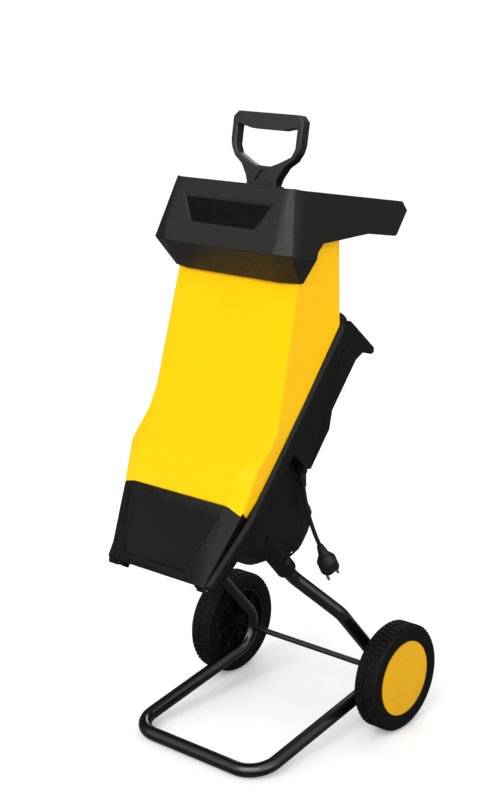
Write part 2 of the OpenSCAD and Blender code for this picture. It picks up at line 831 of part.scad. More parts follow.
module motor_cap()
    color("#1d1d20")
        difference() {
            on_split() {
                difference() {
                    loft(cap_rings(0));
                    loft(cap_rings(2.5));
                    for (i = [-5:5])
                        translate([i * 12 - 3, 80, -motor_deep - cap_deep - 5]) cube([6, 200, 24]);
                }
                difference() {
                    intersection() {
                        loft(cap_rings(0));
                        both_sides() for (u = cap_screw_up)
                            translate([cap_screw_x, u, -motor_deep - 20])
                                cylinder(r = 6.5, h = 20, $fn = 24);
                    }
                }
            }
            at_cap_screws() {
                translate([0, 0, -60]) cylinder(d = 9, h = 44, $fn = 24);
                translate([0, 0, -60]) cylinder(d = 4.3, h = 80, $fn = 24);
            }
            at_tube_end() translate([0, 0, -socket_run - 20])
                cylinder(d = tube_d + 14, h = socket_run + 26);
        }

module cap_screws()
    color("#b9bbbd") at_cap_screws() translate([0, 0, -16]) rotate([180, 0, 0]) screw(4, 30, 7.5, 3);

module stand_bolts()
    color("#b9bbbd")
        at_tube_end()
            translate([0, 0, -bolt_back])
                rotate([0, 90, 0]) {
                    translate([0, 0, tube_d / 2 + 5.5]) cylinder(d = 11, h = 5, $fn = 24);
                    translate([0, 0, -tube_d / 2 - 5]) cylinder(d = bolt_d, h = tube_d + 11, $fn = 24);
                }

module hinge_pins()
    color("#b9bbbd")
        on_split()
            both_sides()
                translate([ear_in, 0, hinge_h])
                    rotate([0, 90, 0])
                        cylinder(d = hinge_pin_d, h = ear_out - ear_in, $fn = 32);

module interlock_switch()
    color("#2c2c2e")
        on_split() {
            translate([interlock_x - 15, interlock_up - 6, -tray_deep - 18]) cube([30, 12, 18]);
            translate([interlock_x, interlock_up, -tray_deep - 1])
                cylinder(d = 5, h = tray_deep + back_h, $fn = 24);
        }

module switch_plate()
    color("#303034")
        on_split()
            difference() {
                translate([-panel_w / 2, switch_up - panel_l / 2, -step_deep - panel_t])
                    cube([panel_w, panel_l, panel_t]);
                translate([rocker_x - rocker_w / 2 - 0.6, switch_up - rocker_l / 2 - 0.6,
                    -step_deep - 10])
                    cube([rocker_w + 1.2, rocker_l + 1.2, 20]);
                translate([button_x, switch_up, -step_deep - 10])
                    cylinder(d = button_d + 1, h = 20, $fn = 32);
            }

module switch_body()
    color("#26262a")
        on_split()
            difference() {
                union() {
                    translate([rocker_x - 12.6, switch_up - 16.6, -step_deep]) cube([25.2, 33.2, 26]);
                    translate([button_x, switch_up, -step_deep]) cylinder(d = 15, h = 24, $fn = 32);
                    translate([rocker_x, switch_up - 6, -step_deep + 18])
                        cube([button_x - rocker_x, 12, 5]);
                }
                translate([rocker_x - rocker_w / 2 - 0.6, switch_up - rocker_l / 2 - 0.6,
                    -step_deep - 5])
                    cube([rocker_w + 1.2, rocker_l + 1.2, 18]);
                translate([button_x, switch_up, -step_deep - 5])
                    cylinder(d = button_d + 1, h = 20, $fn = 32);
                translate([rocker_x, switch_up, -step_deep + rocker_pivot]) rotate([0, 90, 0])
                    cylinder(d = rocker_pin_d + 2 * run_gap, h = 60, center = true, $fn = 32);
            }

module rocker()
    color("#1e7a3a")
        on_split()
            translate([rocker_x, switch_up, -step_deep + rocker_pivot])
                rotate([rocker_rest, 0, 0])
                    difference() {
                        union() {
                            translate([-rocker_w / 2, -rocker_l / 2 + 1.1, -rocker_pivot - 5])
                                cube([rocker_w, rocker_l - 2.2, rocker_pivot + 9]);
                            rotate([0, 90, 0])
                                cylinder(d = rocker_pin_d, h = rocker_w + 2.8, center = true, $fn = 32);
                        }
                        translate([0, 0, -rocker_pivot - 45.5]) rotate([0, 90, 0])
                            cylinder(r = 42.5, h = 60, center = true, $fn = 96);
                    }

module reset_button()
    color("#b3261e")
        on_split()
            translate([button_x, switch_up, -step_deep - panel_t - 5])
                cylinder(d = button_d, h = 17, $fn = 32);

module cable_gland()
    color("#1b1b1d")
        cord_exit()
            difference() {
                union() {
                    translate([0, 0, -3]) cylinder(d = 14, h = 3);
                    translate([0, 0, -gland_len])
                        cylinder(d1 = cord_d + 3, d2 = cord_d + 5.5, h = gland_len - 3);
                    cylinder(d = cord_d + 4 - 2 * seat_gap, h = 8);
                }
                translate([0, 0, -30]) cylinder(d = cord_d + 0.8, h = 60);
            }

// The lead is one tube swept along its points, eight sides round.
cord_n = 8;
cord_count = len(cord_points);
function cord_dir(i) = unit(cord_points[min(i + 1, cord_count - 1)] - cord_points[max(i - 1, 0)]);
function cord_ring(i) =
    let (t = cord_dir(i), a = unit(cross(t, [0, -1, 0.2])), b = cross(t, a))
    [for (k = [0:cord_n - 1]) cord_points[i]
        + cord_d / 2 * (a * cos(-k * 360 / cord_n) + b * sin(-k * 360 / cord_n))];

module power_cord() color("#18181a") loft([for (i = [cord_count - 1:-1:0]) cord_ring(i)]);

module on_plug()
    translate(plug_at)
        rotate([0, acos(plug_dir[2]), atan2(plug_dir[1], plug_dir[0])])
            rotate([0, 0, 20])
                children();

module plug_body()
    color("#18181a")
        on_plug()
            difference() {
                union() {
                    cylinder(d1 = cord_d + 3, d2 = cord_d + 10, h = plug_neck);
                    translate([0, 0, plug_neck - 4])
                        cylinder(d1 = cord_d + 12, d2 = plug_body_d, h = 12);
                    translate([0, 0, plug_neck + 8]) cylinder(d = plug_body_d, h = plug_body_l - 8);
                }
                for (s = [-1, 1]) {
                    translate([s * pin_pitch / 2, 0, plug_neck + plug_body_l - 8])
                        cylinder(d = pin_d + 2 * seat_gap, h = 20, $fn = 32);
                    translate([-30, s * plug_body_d * 0.43 - (s < 0 ? 10 : 0), plug_neck + 12])
                        cube([60, 10, plug_body_l]);
                }
            }

module plug_pins()
    color("#c9cbcd")
        on_plug()
            for (s = [-1, 1])
                translate([s * pin_pitch / 2, 0, plug_neck + plug_body_l]) {
                    cylinder(d = pin_d, h = pin_len, $fn = 32);
                    translate([0, 0, -8]) cylinder(d = pin_d - 0.8, h = 9, $fn = 32);
                }

// Rotor.
module motor_shaft()
    color("#b0b2b5")
        on_axis() {
            translate([0, 0, -172]) cylinder(d = shaft_d, h = 172 + 3);
            translate([0, 0, tail_low + 1]) cylinder(d = tail_shaft, h = 20);
            translate([0, 0, disc_low - 9]) cylinder(d = shaft_d + 16, h = 9);
        }

module armature()
    color("#5c5e62")
        on_axis()
            difference() {
                union() {
                    translate([0, 0, stator_low]) cylinder(d = drum_d, h = stator_top - stator_low);
                    translate([0, 0, stator_low - 10])
                        cylinder(d = drum_d - 8, h = stator_top - stator_low + 16);
                }
                translate([0, 0, -160]) cylinder(d = shaft_d + 2 * seat_gap, h = 120);
            }

module commutator()
    color("#b4702f")
        on_axis()
            translate([0, 0, -166])
                difference() {
                    cylinder(d = 34, h = 20);
                    translate([0, 0, -1]) cylinder(d = shaft_d + 2 * seat_gap, h = 30);
                    for (a = [0:15:345]) rotate([0, 0, a]) translate([15.5, -0.3, -1])
                        cube([5, 0.6, 16]);
                }

module cooling_fan()
    color("#d8d2c0")
        on_axis()
            translate([0, 0, -60])
                difference() {
                    union() {
                        cylinder(d = 84, h = 2);
                        cylinder(d = 24, h = 13);
                        for (a = [0:30:330]) rotate([0, 0, a]) translate([11, -1, 0]) cube([30, 2, 12]);
                    }
                    translate([0, 0, -1]) cylinder(d = shaft_d + 2 * seat_gap, h = 20);
                }

blade_x = 52;
module at_blade_screws()
    on_axis() for (a = [0, 180]) rotate([0, 0, a]) for (y = [-10, 10])
        translate([blade_x + 8, y, 0]) children();

module knife_disc()
    color("#85878b")
        difference() {
            on_axis()
                difference() {
                    translate([0, 0, disc_low]) cylinder(d = disc_d, h = disc_t, $fn = 96);
                    translate([0, 0, disc_low - 1]) cylinder(d = shaft_d + 2 * seat_gap, h = 20);
                    for (a = [0, 180])
                        rotate([0, 0, a]) translate([24, -26, disc_low - 1]) cube([58, 10, 20]);
                }
            at_blade_screws() translate([0, 0, disc_low - 1]) cylinder(d = 5.2, h = 20, $fn = 24);
        }

module knife_blades()
    color("#d4d6d8")
        difference() {
            on_axis()
                for (a = [0, 180])
                    rotate([0, 0, a])
                        translate([26, 0, disc_top])
                            rotate([90, 0, 90])
                                linear_extrude(58)
                                    polygon([[-22, blade_t], [-16, 0], [20, 0], [20, blade_t]]);
            at_blade_screws() {
                translate([0, 0, disc_top - 1]) cylinder(d = 5.2, h = 20, $fn = 24);
                translate([0, 0, blade_top - 2.6]) cylinder(d = 9.6, h = 20, $fn = 24);
            }
        }

module blade_screws()
    color("#4a4b4f")
        at_blade_screws() translate([0, 0, blade_top - 2.6]) screw(5, 8, 9, 2.2);

module disc_nut()
    color("#b9bbbd")
        on_axis()
            translate([0, 0, disc_top])
                difference() {
                    cylinder(d = 22, h = 8, $fn = 6);
                    translate([0, 0, -1]) cylinder(d = shaft_d + 2 * seat_gap, h = 20);
                }

// Front unit.
module beyond(a, b, c, g) {
    n = unit(cross(b - a, c - a));
    e = unit(b - a);
    f = cross(n, e);
    o = a - g * n;
    multmatrix([
        [e[0], f[0], n[0], o[0]],
        [e[1], f[1], n[1], o[1]],
        [e[2], f[2], n[2], o[2]],
        [0, 0, 0, 1]
    ])
        translate([-250, -250, 0]) cube([500, 500, 200]);
}

// Corner points of the angled facets at the front of the hood.
crease_in = [105, crease_v, crease_h];
crease_out = [crease_half, crease_v + 12, crease_h];
module hood_corners(g)
    both_sides() {
        beyond([hood_half - 1.5, rim_v, 0], crease_in, crease_out, g);
        beyond(crease_in, [crease_half - 15, -42, -139], crease_out, g + 1.2);
    }

module hood_form(top, g)
    intersection() {
        across(200) offset(delta = -g) polygon(hood_side(top));
        rotate([90, 0, 0]) translate([0, 0, -300]) linear_extrude(600) offset(delta = -g)
            polygon(hood_front(top));
    }

module hood_outside()
    intersection() {
        across(200) polygon(hood_side(0));
        rotate([90, 0, 0]) translate([0, 0, -300]) linear_extrude(600) polygon(hood_front(0));
    }

panel_top = -24;
panel_low = -70;
panel_sink = 1.8;
panel_edge = 4;
module hood_face() translate([0, rim_v, 0]) rotate([90 - atan(face_run), 0, 0]) children();

function panel_line(g) = [[g - 66, panel_low + g], [66 - g, panel_low + g], [88 - g, panel_top - g],
    [g - 88, panel_top - g]];
function panel_ring(z) = [for (p = panel_line(-z * panel_edge / panel_sink)) [p[0], p[1], z]];

module feed_hood()
    color("#2b2b2e")
        difference() {
            on_hood()
                difference() {
                    hood_outside();
                    hood_corners(0);
                    difference() {
                        hood_form(20, wall);
                        hood_corners(wall);
                        translate([-200, -300, floor_h - 3]) cube([400, 310, 3]);
                    }
                    translate([-slot_half, -slot_deep, -100]) cube([2 * slot_half, 2 * slot_deep, 60]);
                    hood_face() loft([panel_ring(-panel_sink), panel_ring(panel_sink / 2)]);
                }
            intersection() {
                front_body(0.4);
                on_hood() translate([-200, -300, -250]) cube([400, 600, 250 + floor_h - 3]);
            }
            at_hood_screws() translate([0, 0, -100]) cylinder(d = 4.3, h = 60, $fn = 24);
        }

module hood_panel()
    color("#101013")
        on_hood()
            hood_face()
                translate([0, 0, -panel_sink]) linear_extrude(1) polygon(panel_line(panel_edge + 0.3));

// Room taken by the hood above the cover.
module hood_room()
    on_hood()
        across(300)
            polygon([
                [-300, floor_h - 3], [-7, floor_h - 3], [51, -65], [110, tray_h], [300, tray_h],
                    [300, 200], [-300, 200]
            ]);

module behind_split() on_split() translate([-300, -300, -600]) cube([600, 1200, 600]);

module front_cover()
    color("#ffd21a")
        difference() {
            union() {
                difference() {
                    front_body(0);
                    front_body(-wall);
                }
                intersection() {
                    front_body(-1);
                    union() {
                        face_band(guard_len, guard_len + wall, join_low);
                        at_back_screws() translate([0, 0, back_h + back_t]) cylinder(r = 13, h = 22);
                        at_hood_screws() translate([0, 0, floor_h - 40]) cylinder(r = 11, h = 36);
                    }
                }
            }
            behind_split();
            on_split() translate([-300, -300, -10]) cube([600, 300 + guard_len, 400]);
            hood_room();
            at_back_screws() cylinder(d = 4.1, h = 26, $fn = 24);
            at_hood_screws() translate([0, 0, floor_h - 24]) cylinder(d = 4.1, h = 30, $fn = 24);
            at_join_screws() translate([0, 0, -20]) cylinder(d = 4.1, h = 30, $fn = 24);
        }

guard_slope = atan((guard_rise - guard_lip) / guard_len);
recess_top = 105;
recess_low = 12;
recess_deep = 8;
module on_recess()
    on_split()
        translate([0, 0, guard_lip])
            rotate([guard_slope, 0, 0])
                translate([0, recess_top, 0])
                    rotate([atan(recess_deep / (recess_top - recess_low)), 0, 0])
                        translate([0, -recess_top, 0])
                            children();

module recess_shape(g)
    polygon([[-64 - g, recess_low - g], [64 + g, recess_low - g], [90 + g, recess_top + g],
        [-90 - g, recess_top + g]]);

module lower_guard()
    color("#2e2e2f")
        difference() {
            union() {
                intersection() {
                    difference() {
                        front_body(0);
                        intersection() {
                            front_body(-wall);
                            face_band(wall, 400, -20);
                        }
                    }
                    face_band(0, guard_len, 0);
                }
                intersection() {
                    front_body(-1);
                    face_band(0, guard_len, 0);
                    union() {
                        face_band(guard_len - wall, guard_len, join_low);
                        on_recess() translate([0, 0, -2.5]) linear_extrude(30) recess_shape(2);
                    }
                }
                on_split()
                    both_sides() {
                        translate([ear_in, 0, hinge_h])
                            rotate([0, 90, 0]) cylinder(r = hinge_r, h = ear_mid - ear_in, $fn = 32);
                        translate([ear_in, -hinge_r / 2, hinge_h])
                            cube([ear_mid - ear_in, hinge_r * 1.5, 3 - hinge_h]);
                    }
            }
            on_recess() linear_extrude(40) recess_shape(0);
            on_split()
                both_sides()
                    translate([ear_in - 5, 0, hinge_h])
                        rotate([0, 90, 0]) cylinder(d = hinge_pin_d + 2 * run_gap, h = 40, $fn = 32);
            at_join_screws() translate([0, 0, -20]) cylinder(d = 4.3, h = 30, $fn = 24);
        }

module join_screws() color("#b9bbbd") at_join_screws() screw(4, 8, 8, 3);

module chute_back()
    color("#2a2a2d")
        difference() {
            on_split()
                difference() {
                    union() {
                        translate([0, 0, back_h])
                            linear_extrude(back_t)
                                polygon([
                                    [-back_half, back_low], [back_half, back_low], [back_half, box_up],
                                    [back_half - 3, shell_len - 27], [3 - back_half, shell_len - 27],
                                    [-back_half, box_up]
                                ]);
                        translate([0, lock_up, back_h]) cylinder(d = 26, h = insert_h);
                    }
                    translate([0, lock_up, back_h - 1]) cylinder(d = 17 + 2 * seat_gap, h = 30);
                    translate([0, 0, -20]) for (x = [-40, 40]) translate([x, 269, 0])
                        cylinder(d = 5.1, h = 60, $fn = 24);
                }
            at_back_screws() cylinder(d = 4.3, h = 40, $fn = 24);
        }

module back_screws() color("#b9bbbd") at_back_screws() translate([0, 0, back_h]) rotate([180, 0, 0])
    screw(4, 16, 8, 3);

module anvil()
    color("#a2a4a7")
        on_split()
            difference() {
                translate([-60, 238, 0.5]) cube([120, 38, back_h - 0.5]);
                for (x = [-40, 40]) translate([x, 269, -1]) cylinder(d = 5.1, h = 20, $fn = 24);
            }

module anvil_bolts()
    color("#b9bbbd")
        on_split()
            for (x = [-40, 40])
                translate([x, 269, back_h + back_t]) {
                    cylinder(d = 9, h = 4, $fn = 6);
                    translate([0, 0, -back_h - back_t + 1])
                        cylinder(d = 5, h = back_h + back_t, $fn = 24);
                }

module lock_insert()
    color("#b48a3c")
        on_split()
            translate([0, lock_up, back_h])
                difference() {
                    cylinder(d = 17, h = insert_h);
                    translate([0, 0, -1]) cylinder(d = lock_d + 2 * lock_play, h = 30);
                }

module hood_screws() color("#b9bbbd") at_hood_screws() translate([0, 0, floor_h]) screw(4, 22, 8, 3);

// Plunger.
grip_deep = 18;
grip_half = 69;
grip_right = [[29, -6], [29, 4], [32, 13], [43, 30], [58, 41], [66, 54], [grip_half, 66],
    [grip_half, grip_top - 9], [grip_half - 9, grip_top]];
hole_right = [[14, 30], [30, 36], [52, 47], [58, 59], [58, grip_top - 19], [30, grip_top - 25]];
function mirrored(p) = concat(p, [for (i = [len(p) - 1:-1:0]) [-p[i][0], p[i][1]]]);

module plunger_grip()
    color("#232326")
        on_hood()
            difference() {
                union() {
                    rotate([90, 0, 0])
                        translate([0, 0, -grip_deep / 2])
                            linear_extrude(grip_deep)
                                difference() {
                                    polygon(rounded(mirrored(grip_right), 3, 2));
                                    polygon(rounded(mirrored(hole_right), 3, 2));
                                }
                    translate([-29, -grip_deep / 2, collar_h])
                        cube([58, grip_deep, -6 - collar_h + 1]);
                    translate([-slot_half - 6, -collar_v, collar_h])
                        cube([2 * slot_half + 12, 2 * collar_v, 6]);
                }
                // Sunk triangle on both faces.
                for (s = [0, 180])
                    rotate([0, 0, s])
                        translate([0, 2.5 - grip_deep / 2, 0])
                            rotate([90, 0, 0])
                                linear_extrude(20)
                                    polygon(rounded([[-14, 6], [14, 6], [3, 22], [-3, 22]], 1.5, 2));
                for (x = [-24, 24]) translate([x, 0, collar_h - 1]) cylinder(d = 5.1, h = 24, $fn = 24);
            }

paddle_x = slot_half - plunger_play;
paddle_v = slot_deep - plunger_play;
module plunger_paddle()
    color("#29292c")
        on_hood()
            difference() {
                union() {
                    translate([-paddle_x, -4, -plunger_len])
                        cube([2 * paddle_x, 8, plunger_len + collar_h]);
                    both_sides()
                        translate([paddle_x - 4, -paddle_v, -plunger_len])
                            cube([4, 2 * paddle_v, plunger_len + collar_h]);
                    translate([-paddle_x, -paddle_v, -plunger_len])
                        cube([2 * paddle_x, 2 * paddle_v, 5]);
                    translate([-paddle_x, -paddle_v, collar_h - 5])
                        cube([2 * paddle_x, 2 * paddle_v, 5]);
                }
                for (x = [-24, 24]) translate([x, 0, collar_h - 20]) cylinder(d = 10, h = 15, $fn = 24);
                for (x = [-24, 24]) translate([x, 0, collar_h - 20])
                    cylinder(d = 5.1, h = 40, $fn = 24);
            }

module plunger_bolts()
    color("#b9bbbd")
        on_hood()
            for (x = [-24, 24]) translate([x, 0, collar_h - 5]) rotate([180, 0, 0])
                screw(5, 22, 9, 3.5);

// Lock knob on the back of the rear shell.
module lock_knob()
    color("#1a1a1c")
        on_split()
            translate([0, lock_up, -box_deep - 1])
                rotate([180, 0, 0])
                    difference() {
                        union() {
                            cylinder(d = 30, h = 8);
                            translate([0, 0, 6]) cylinder(d = 44, h = 18);
                            for (a = [15:60:315])
                                rotate([0, 0, a]) translate([22, 0, 7])
                                    cylinder(d = 11, h = 16, $fn = 24);
                        }
                        translate([0, 0, -1]) cylinder(d = lock_d + 2 * seat_gap, h = 13);
                    }

module lock_screw()
    color("#b9bbbd")
        on_split()
            translate([0, lock_up, -box_deep - 12])
                cylinder(d = lock_d, h = box_deep + 11 + back_h + insert_h);

standing() rear_shell();
standing() base_plate();
standing() base_screws();
standing() front_bracket();
standing() motor_screws();
standing() front_bearing();
standing() stator();
standing() field_coils();
standing() rear_bracket();
standing() rear_bearing();
standing() brush_holders();
standing() motor_cap();
standing() cap_screws();
standing() switch_plate();
standing() switch_body();
standing() interlock_switch();
standing() cable_gland();
standing() power_cord();
standing() plug_body();
standing() plug_pins();
standing() stand_tube();
standing() stand_bolts();
standing() axle();
standing() axle_spacers();
standing() axle_washers();
standing() axle_caps();
standing() hinge_pins();
standing() feed_hood();
standing() hood_panel();
standing() front_cover();
standing() lower_guard();
standing() join_screws();
standing() chute_back();
standing() back_screws();
standing() anvil();
standing() anvil_bolts();
standing() lock_insert();
standing() hood_screws();
standing() plunger_grip();
standing() plunger_paddle();
standing() plunger_bolts();
standing() lock_knob();
standing() lock_screw();
standing() motor_shaft();
standing() armature();
standing() commutator();
standing() cooling_fan();
standing() knife_disc();
standing() knife_blades();
standing() blade_screws();
standing() disc_nut();
standing() rocker();
standing() reset_button();
standing() tyre_left();
standing() rim_left();
standing() hubcap_left();
standing() tyre_right();
standing() rim_right();
standing() hubcap_right();
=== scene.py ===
"""Looks of an electric garden shredder, built round its packed assembly."""

import json
import math

import bmesh
import bpy
from bpy.props import FloatProperty, FloatVectorProperty, IntProperty, PointerProperty
from mathutils import Matrix, Vector

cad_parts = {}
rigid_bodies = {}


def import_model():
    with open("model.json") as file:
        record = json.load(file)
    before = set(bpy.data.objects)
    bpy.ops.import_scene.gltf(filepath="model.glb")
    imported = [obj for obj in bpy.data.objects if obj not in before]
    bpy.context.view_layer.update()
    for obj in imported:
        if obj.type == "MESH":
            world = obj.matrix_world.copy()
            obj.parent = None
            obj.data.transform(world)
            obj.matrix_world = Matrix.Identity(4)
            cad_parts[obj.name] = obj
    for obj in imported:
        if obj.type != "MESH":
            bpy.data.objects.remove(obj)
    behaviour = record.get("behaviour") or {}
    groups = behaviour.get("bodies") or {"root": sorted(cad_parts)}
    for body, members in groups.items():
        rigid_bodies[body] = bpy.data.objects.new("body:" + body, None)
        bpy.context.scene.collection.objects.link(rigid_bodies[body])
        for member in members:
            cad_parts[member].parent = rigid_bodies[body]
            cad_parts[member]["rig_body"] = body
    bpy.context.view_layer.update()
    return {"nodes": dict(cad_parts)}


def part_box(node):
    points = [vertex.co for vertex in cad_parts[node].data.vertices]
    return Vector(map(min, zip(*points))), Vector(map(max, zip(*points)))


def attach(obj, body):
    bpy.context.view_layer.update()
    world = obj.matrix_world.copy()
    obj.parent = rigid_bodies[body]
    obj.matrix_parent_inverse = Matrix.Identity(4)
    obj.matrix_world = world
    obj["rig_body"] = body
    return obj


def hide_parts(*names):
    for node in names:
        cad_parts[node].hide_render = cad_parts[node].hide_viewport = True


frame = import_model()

bl_info = {
    "name": "Garden shredder looks",
    "version": (1, 0, 0),
    "blender": (4, 5, 0),
    "location": "3D View > Sidebar > Shredder",
    "description": "Dresses the packed shredder assembly with moulded edges, finishes and a studio",
    "category": "Object",
}

MM = 0.001
# Points nearer than this are one point, and faces that turn less than this from the next are one flat.
WELD = 0.01 * MM
FLAT_TURN = math.radians(0.5)
# Edges sharper than this are rounded, and edges that turn less than this into the next are one edge.
SHARP_EDGE = math.radians(32)
CHAIN_TURN = math.radians(35)
# A face at least this wide on average takes the full rounding, and a rounding under the least is left out.
BROAD_FACE = 8 * MM
LEAST_ROUNDING = 0.1 * MM
# An outline that turns less than this, in radians, runs straight on.
STRAIGHT_TURN = 0.01
# A rounding takes at most this share of the room beside its edge.
ROOM_SHARE = 0.4
# Edges that turn more than this stay crisp to the eye, on mouldings, screw heads and tyres.
CRISP_MOULDING = math.radians(46)
CRISP_SCREW = math.radians(35)
CRISP_TYRE = math.radians(38)
# A group of faces smaller than this that hangs on a crowded edge is a folded sliver.
FIN_AREA = 40 * MM ** 2

# The photograph's camera, found from the wheels, the stand and the rim of the shell.
CAMERA_PLACE = (1.603, -1.9036, 1.251)
CAMERA_AIM = (-0.6267, 0.7320, -0.2672)
CAMERA_LENS = 73.8
CAMERA_SENSOR = 36.0

# A broad window lights the front. The panels' names, watts, widths and places follow; all aim at the middle.
WINDOW_AIM = (-0.05, 0.72, -0.66)
PANELS = (
    ("soft_box", 14, 0.8, (1.7, -1.9, 1.9)),
    ("side_panel", 2, 0.9, (2.4, -0.4, 0.9)),
    ("back_panel", 16, 1.2, (-1.2, 2.3, 1.7)),
)
PANEL_AIM = (0, 0, 0.5)
# The side of the room that is white in reflections.
WHITE_WALL = (0.62, -0.74, 0.27)

# The lead's middle line from the strain relief to the plug, in metres.
CORD_LINE = [
    (0.104, -0.006615, 0.452), (0.104, -0.005365, 0.444), (0.104, -0.003865, 0.436),
    (0.104, -0.002115, 0.428), (0.104, -0.000115, 0.420), (0.104, 0.002135, 0.412),
    (0.104, 0.004635, 0.404), (0.104, 0.007385, 0.396), (0.104, 0.010385, 0.388),
    (0.104, 0.013635, 0.380), (0.104, 0.017185, 0.372), (0.104, 0.020935, 0.364),
    (0.104, 0.024935, 0.356), (0.104, 0.029235, 0.348), (0.104, 0.033735, 0.340),
    (0.104, 0.038485, 0.332),
]


def linear(code):
    """Turns an sRGB hex value into linear red, green, blue and alpha."""
    parts = [int(code[i:i + 2], 16) / 255 for i in (1, 3, 5)]
    return (*[c / 12.92 if c <= 0.04045 else ((c + 0.055) / 1.055) ** 2.4 for c in parts], 1.0)


def hue(code, name, description):
    """A colour property whose default is an sRGB hex value."""
    return FloatVectorProperty(
        name=name, description=description, default=linear(code), size=4, min=0, max=1, subtype="COLOR")


def length(default, name, description):
    """A size property in metres."""
    return FloatProperty(
        name=name, description=description, default=default, min=0, unit="LENGTH", precision=5)


class ShredderSizes(bpy.types.PropertyGroup):
    """Sizes of what the looks add to the solids."""
    front_edge: length(4.0 * MM, "Front edge", "Rounding on the edges of the hood, cover and guard")
    recess_splay: length(4.0 * MM, "Recess splay", "How far the guard's recess closes in at its foot")
    hood_corner: length(26.0 * MM, "Hood corner", "Length of the bow at the hood's front corners, at the rim")
    trim_edge: length(0.8 * MM, "Trim edge", "Rounding on the edges of the small mouldings")
    metal_edge: length(0.35 * MM, "Metal edge", "Broken edge on the metal pieces")
    grip_edge: length(3.6 * MM, "Grip edge", "Rounding on the edges of the plunger's handle")
    lug_depth: length(2.5 * MM, "Lug depth", "Height of a tread lug over the tyre's band")
    lug_count: IntProperty(
        name="Lugs", description="Tread lugs in one row", default=60, min=8, max=120)
    cord_width: length(7.0 * MM, "Lead", "Diameter of the mains lead")
    boot_length: length(20.0 * MM, "Boot", "Ribbed length of the lead's strain relief and of the plug's neck")
    rib_count: IntProperty(
        name="Ribs", description="Ribs on the strain relief and on the plug", default=6, min=2, max=20)


class ShredderColours(bpy.types.PropertyGroup):
    """Colours of the mouldings and paints."""
    yellow: hue("#FFC200", "Yellow", "Front cover moulding")
    amber: hue("#E2A906", "Amber", "Hubcap moulding")
    black: hue("#11110F", "Black", "Hood, guard and shell mouldings")
    paint: hue("#070708", "Paint", "Powder coat on the tube stand")
    rubber: hue("#09090A", "Rubber", "Tyres")
    lead: hue("#0E0E0F", "Lead", "Sheath of the lead and its plug")


def sizes():
    """The sizes as they are set in the scene."""
    return bpy.context.scene.shredder_sizes


def colours():
    """The colours as they are set in the scene."""
    return bpy.context.scene.shredder_colours


def add(tree, kind, inputs=None, **settings):
    """Adds a node, sets its attributes and feeds its inputs with values or with other nodes' sockets."""
    node = tree.nodes.new(kind)
    for key, value in settings.items():
        setattr(node, key, value)
    for key, value in (inputs or {}).items():
        if isinstance(value, bpy.types.NodeSocket):
            tree.links.new(value, node.inputs[key])
        else:
            node.inputs[key].default_value = value
    return node


def new_material(name):
    """An empty material with its Principled shader joined to the output."""
    material = bpy.data.materials.new(name)
    material.use_nodes = True
    tree = material.node_tree
    tree.nodes.clear()
    shader = add(tree, "ShaderNodeBsdfPrincipled")
    add(tree, "ShaderNodeOutputMaterial", {"Surface": shader.outputs[0]})
    place = add(tree, "ShaderNodeTexCoord").outputs["Object"]
    return material, tree, shader, place


def shaded(colour, share):
    """A linear colour made darker or lighter by a share."""
    return (*[min(1.0, c * share) for c in colour[:3]], 1.0)


def moulded(name, colour, gloss, grain, depth, worn, spread=0.08, level=0.5, coat=0.0):
    """A moulded plastic, rubber or thick coat: faint clouding, a grain from the tool, paler rubbed edges.
    gloss is its least and greatest roughness, grain the width of the tool's texture and depth its height."""
    material, tree, shader, place = new_material(name)
    # The melt clouds over some 90 mm.
    cloud = add(tree, "ShaderNodeTexNoise", {"Vector": place, "Scale": 1 / (90 * MM), "Detail": 3.0})
    swirl = add(tree, "ShaderNodeMapRange", {"Value": cloud.outputs[0], "From Min": 0.3, "From Max": 0.7})
    body = add(tree, "ShaderNodeMix", {
        0: swirl.outputs[0], 6: shaded(colour, 1 - spread), 7: shaded(colour, 1 + spread)}, data_type="RGBA")
    # Handling shows as scuffs some 14 mm across, and lightens only the edges that stand out.
    scuff = add(tree, "ShaderNodeTexNoise", {
        "Vector": place, "Scale": 1 / (14 * MM), "Detail": 4.0, "Roughness": 0.6})
    patch = add(tree, "ShaderNodeMapRange", {"Value": scuff.outputs[0], "From Min": 0.35, "From Max": 0.65})
    edge = add(tree, "ShaderNodeMapRange", {
        "Value": add(tree, "ShaderNodeNewGeometry").outputs["Pointiness"],
        "From Min": 0.52, "From Max": 0.62, "To Max": 0.45})
    rub = add(tree, "ShaderNodeMath", {0: edge.outputs[0], 1: patch.outputs[0]}, operation="MULTIPLY")
    tint = add(tree, "ShaderNodeMix", {0: rub.outputs[0], 6: body.outputs[2], 7: worn}, data_type="RGBA")
    sheen = add(tree, "ShaderNodeMapRange", {
        "Value": scuff.outputs[0], "From Min": 0.3, "From Max": 0.7, "To Min": gloss[0], "To Max": gloss[1]})
    tool = add(tree, "ShaderNodeTexNoise", {
        "Vector": place, "Scale": 1 / grain, "Detail": 2.0, "Roughness": 0.55})
    bump = add(tree, "ShaderNodeBump", {"Strength": 0.6, "Distance": depth, "Height": tool.outputs[0]})
    tree.links.new(tint.outputs[2], shader.inputs["Base Color"])
    tree.links.new(sheen.outputs[0], shader.inputs["Roughness"])
    tree.links.new(bump.outputs[0], shader.inputs["Normal"])
    shader.inputs["IOR"].default_value = 1.5
    shader.inputs["Specular IOR Level"].default_value = level
    shader.inputs["Coat Weight"].default_value = coat
    shader.inputs["Coat Roughness"].default_value = 0.12
    return material


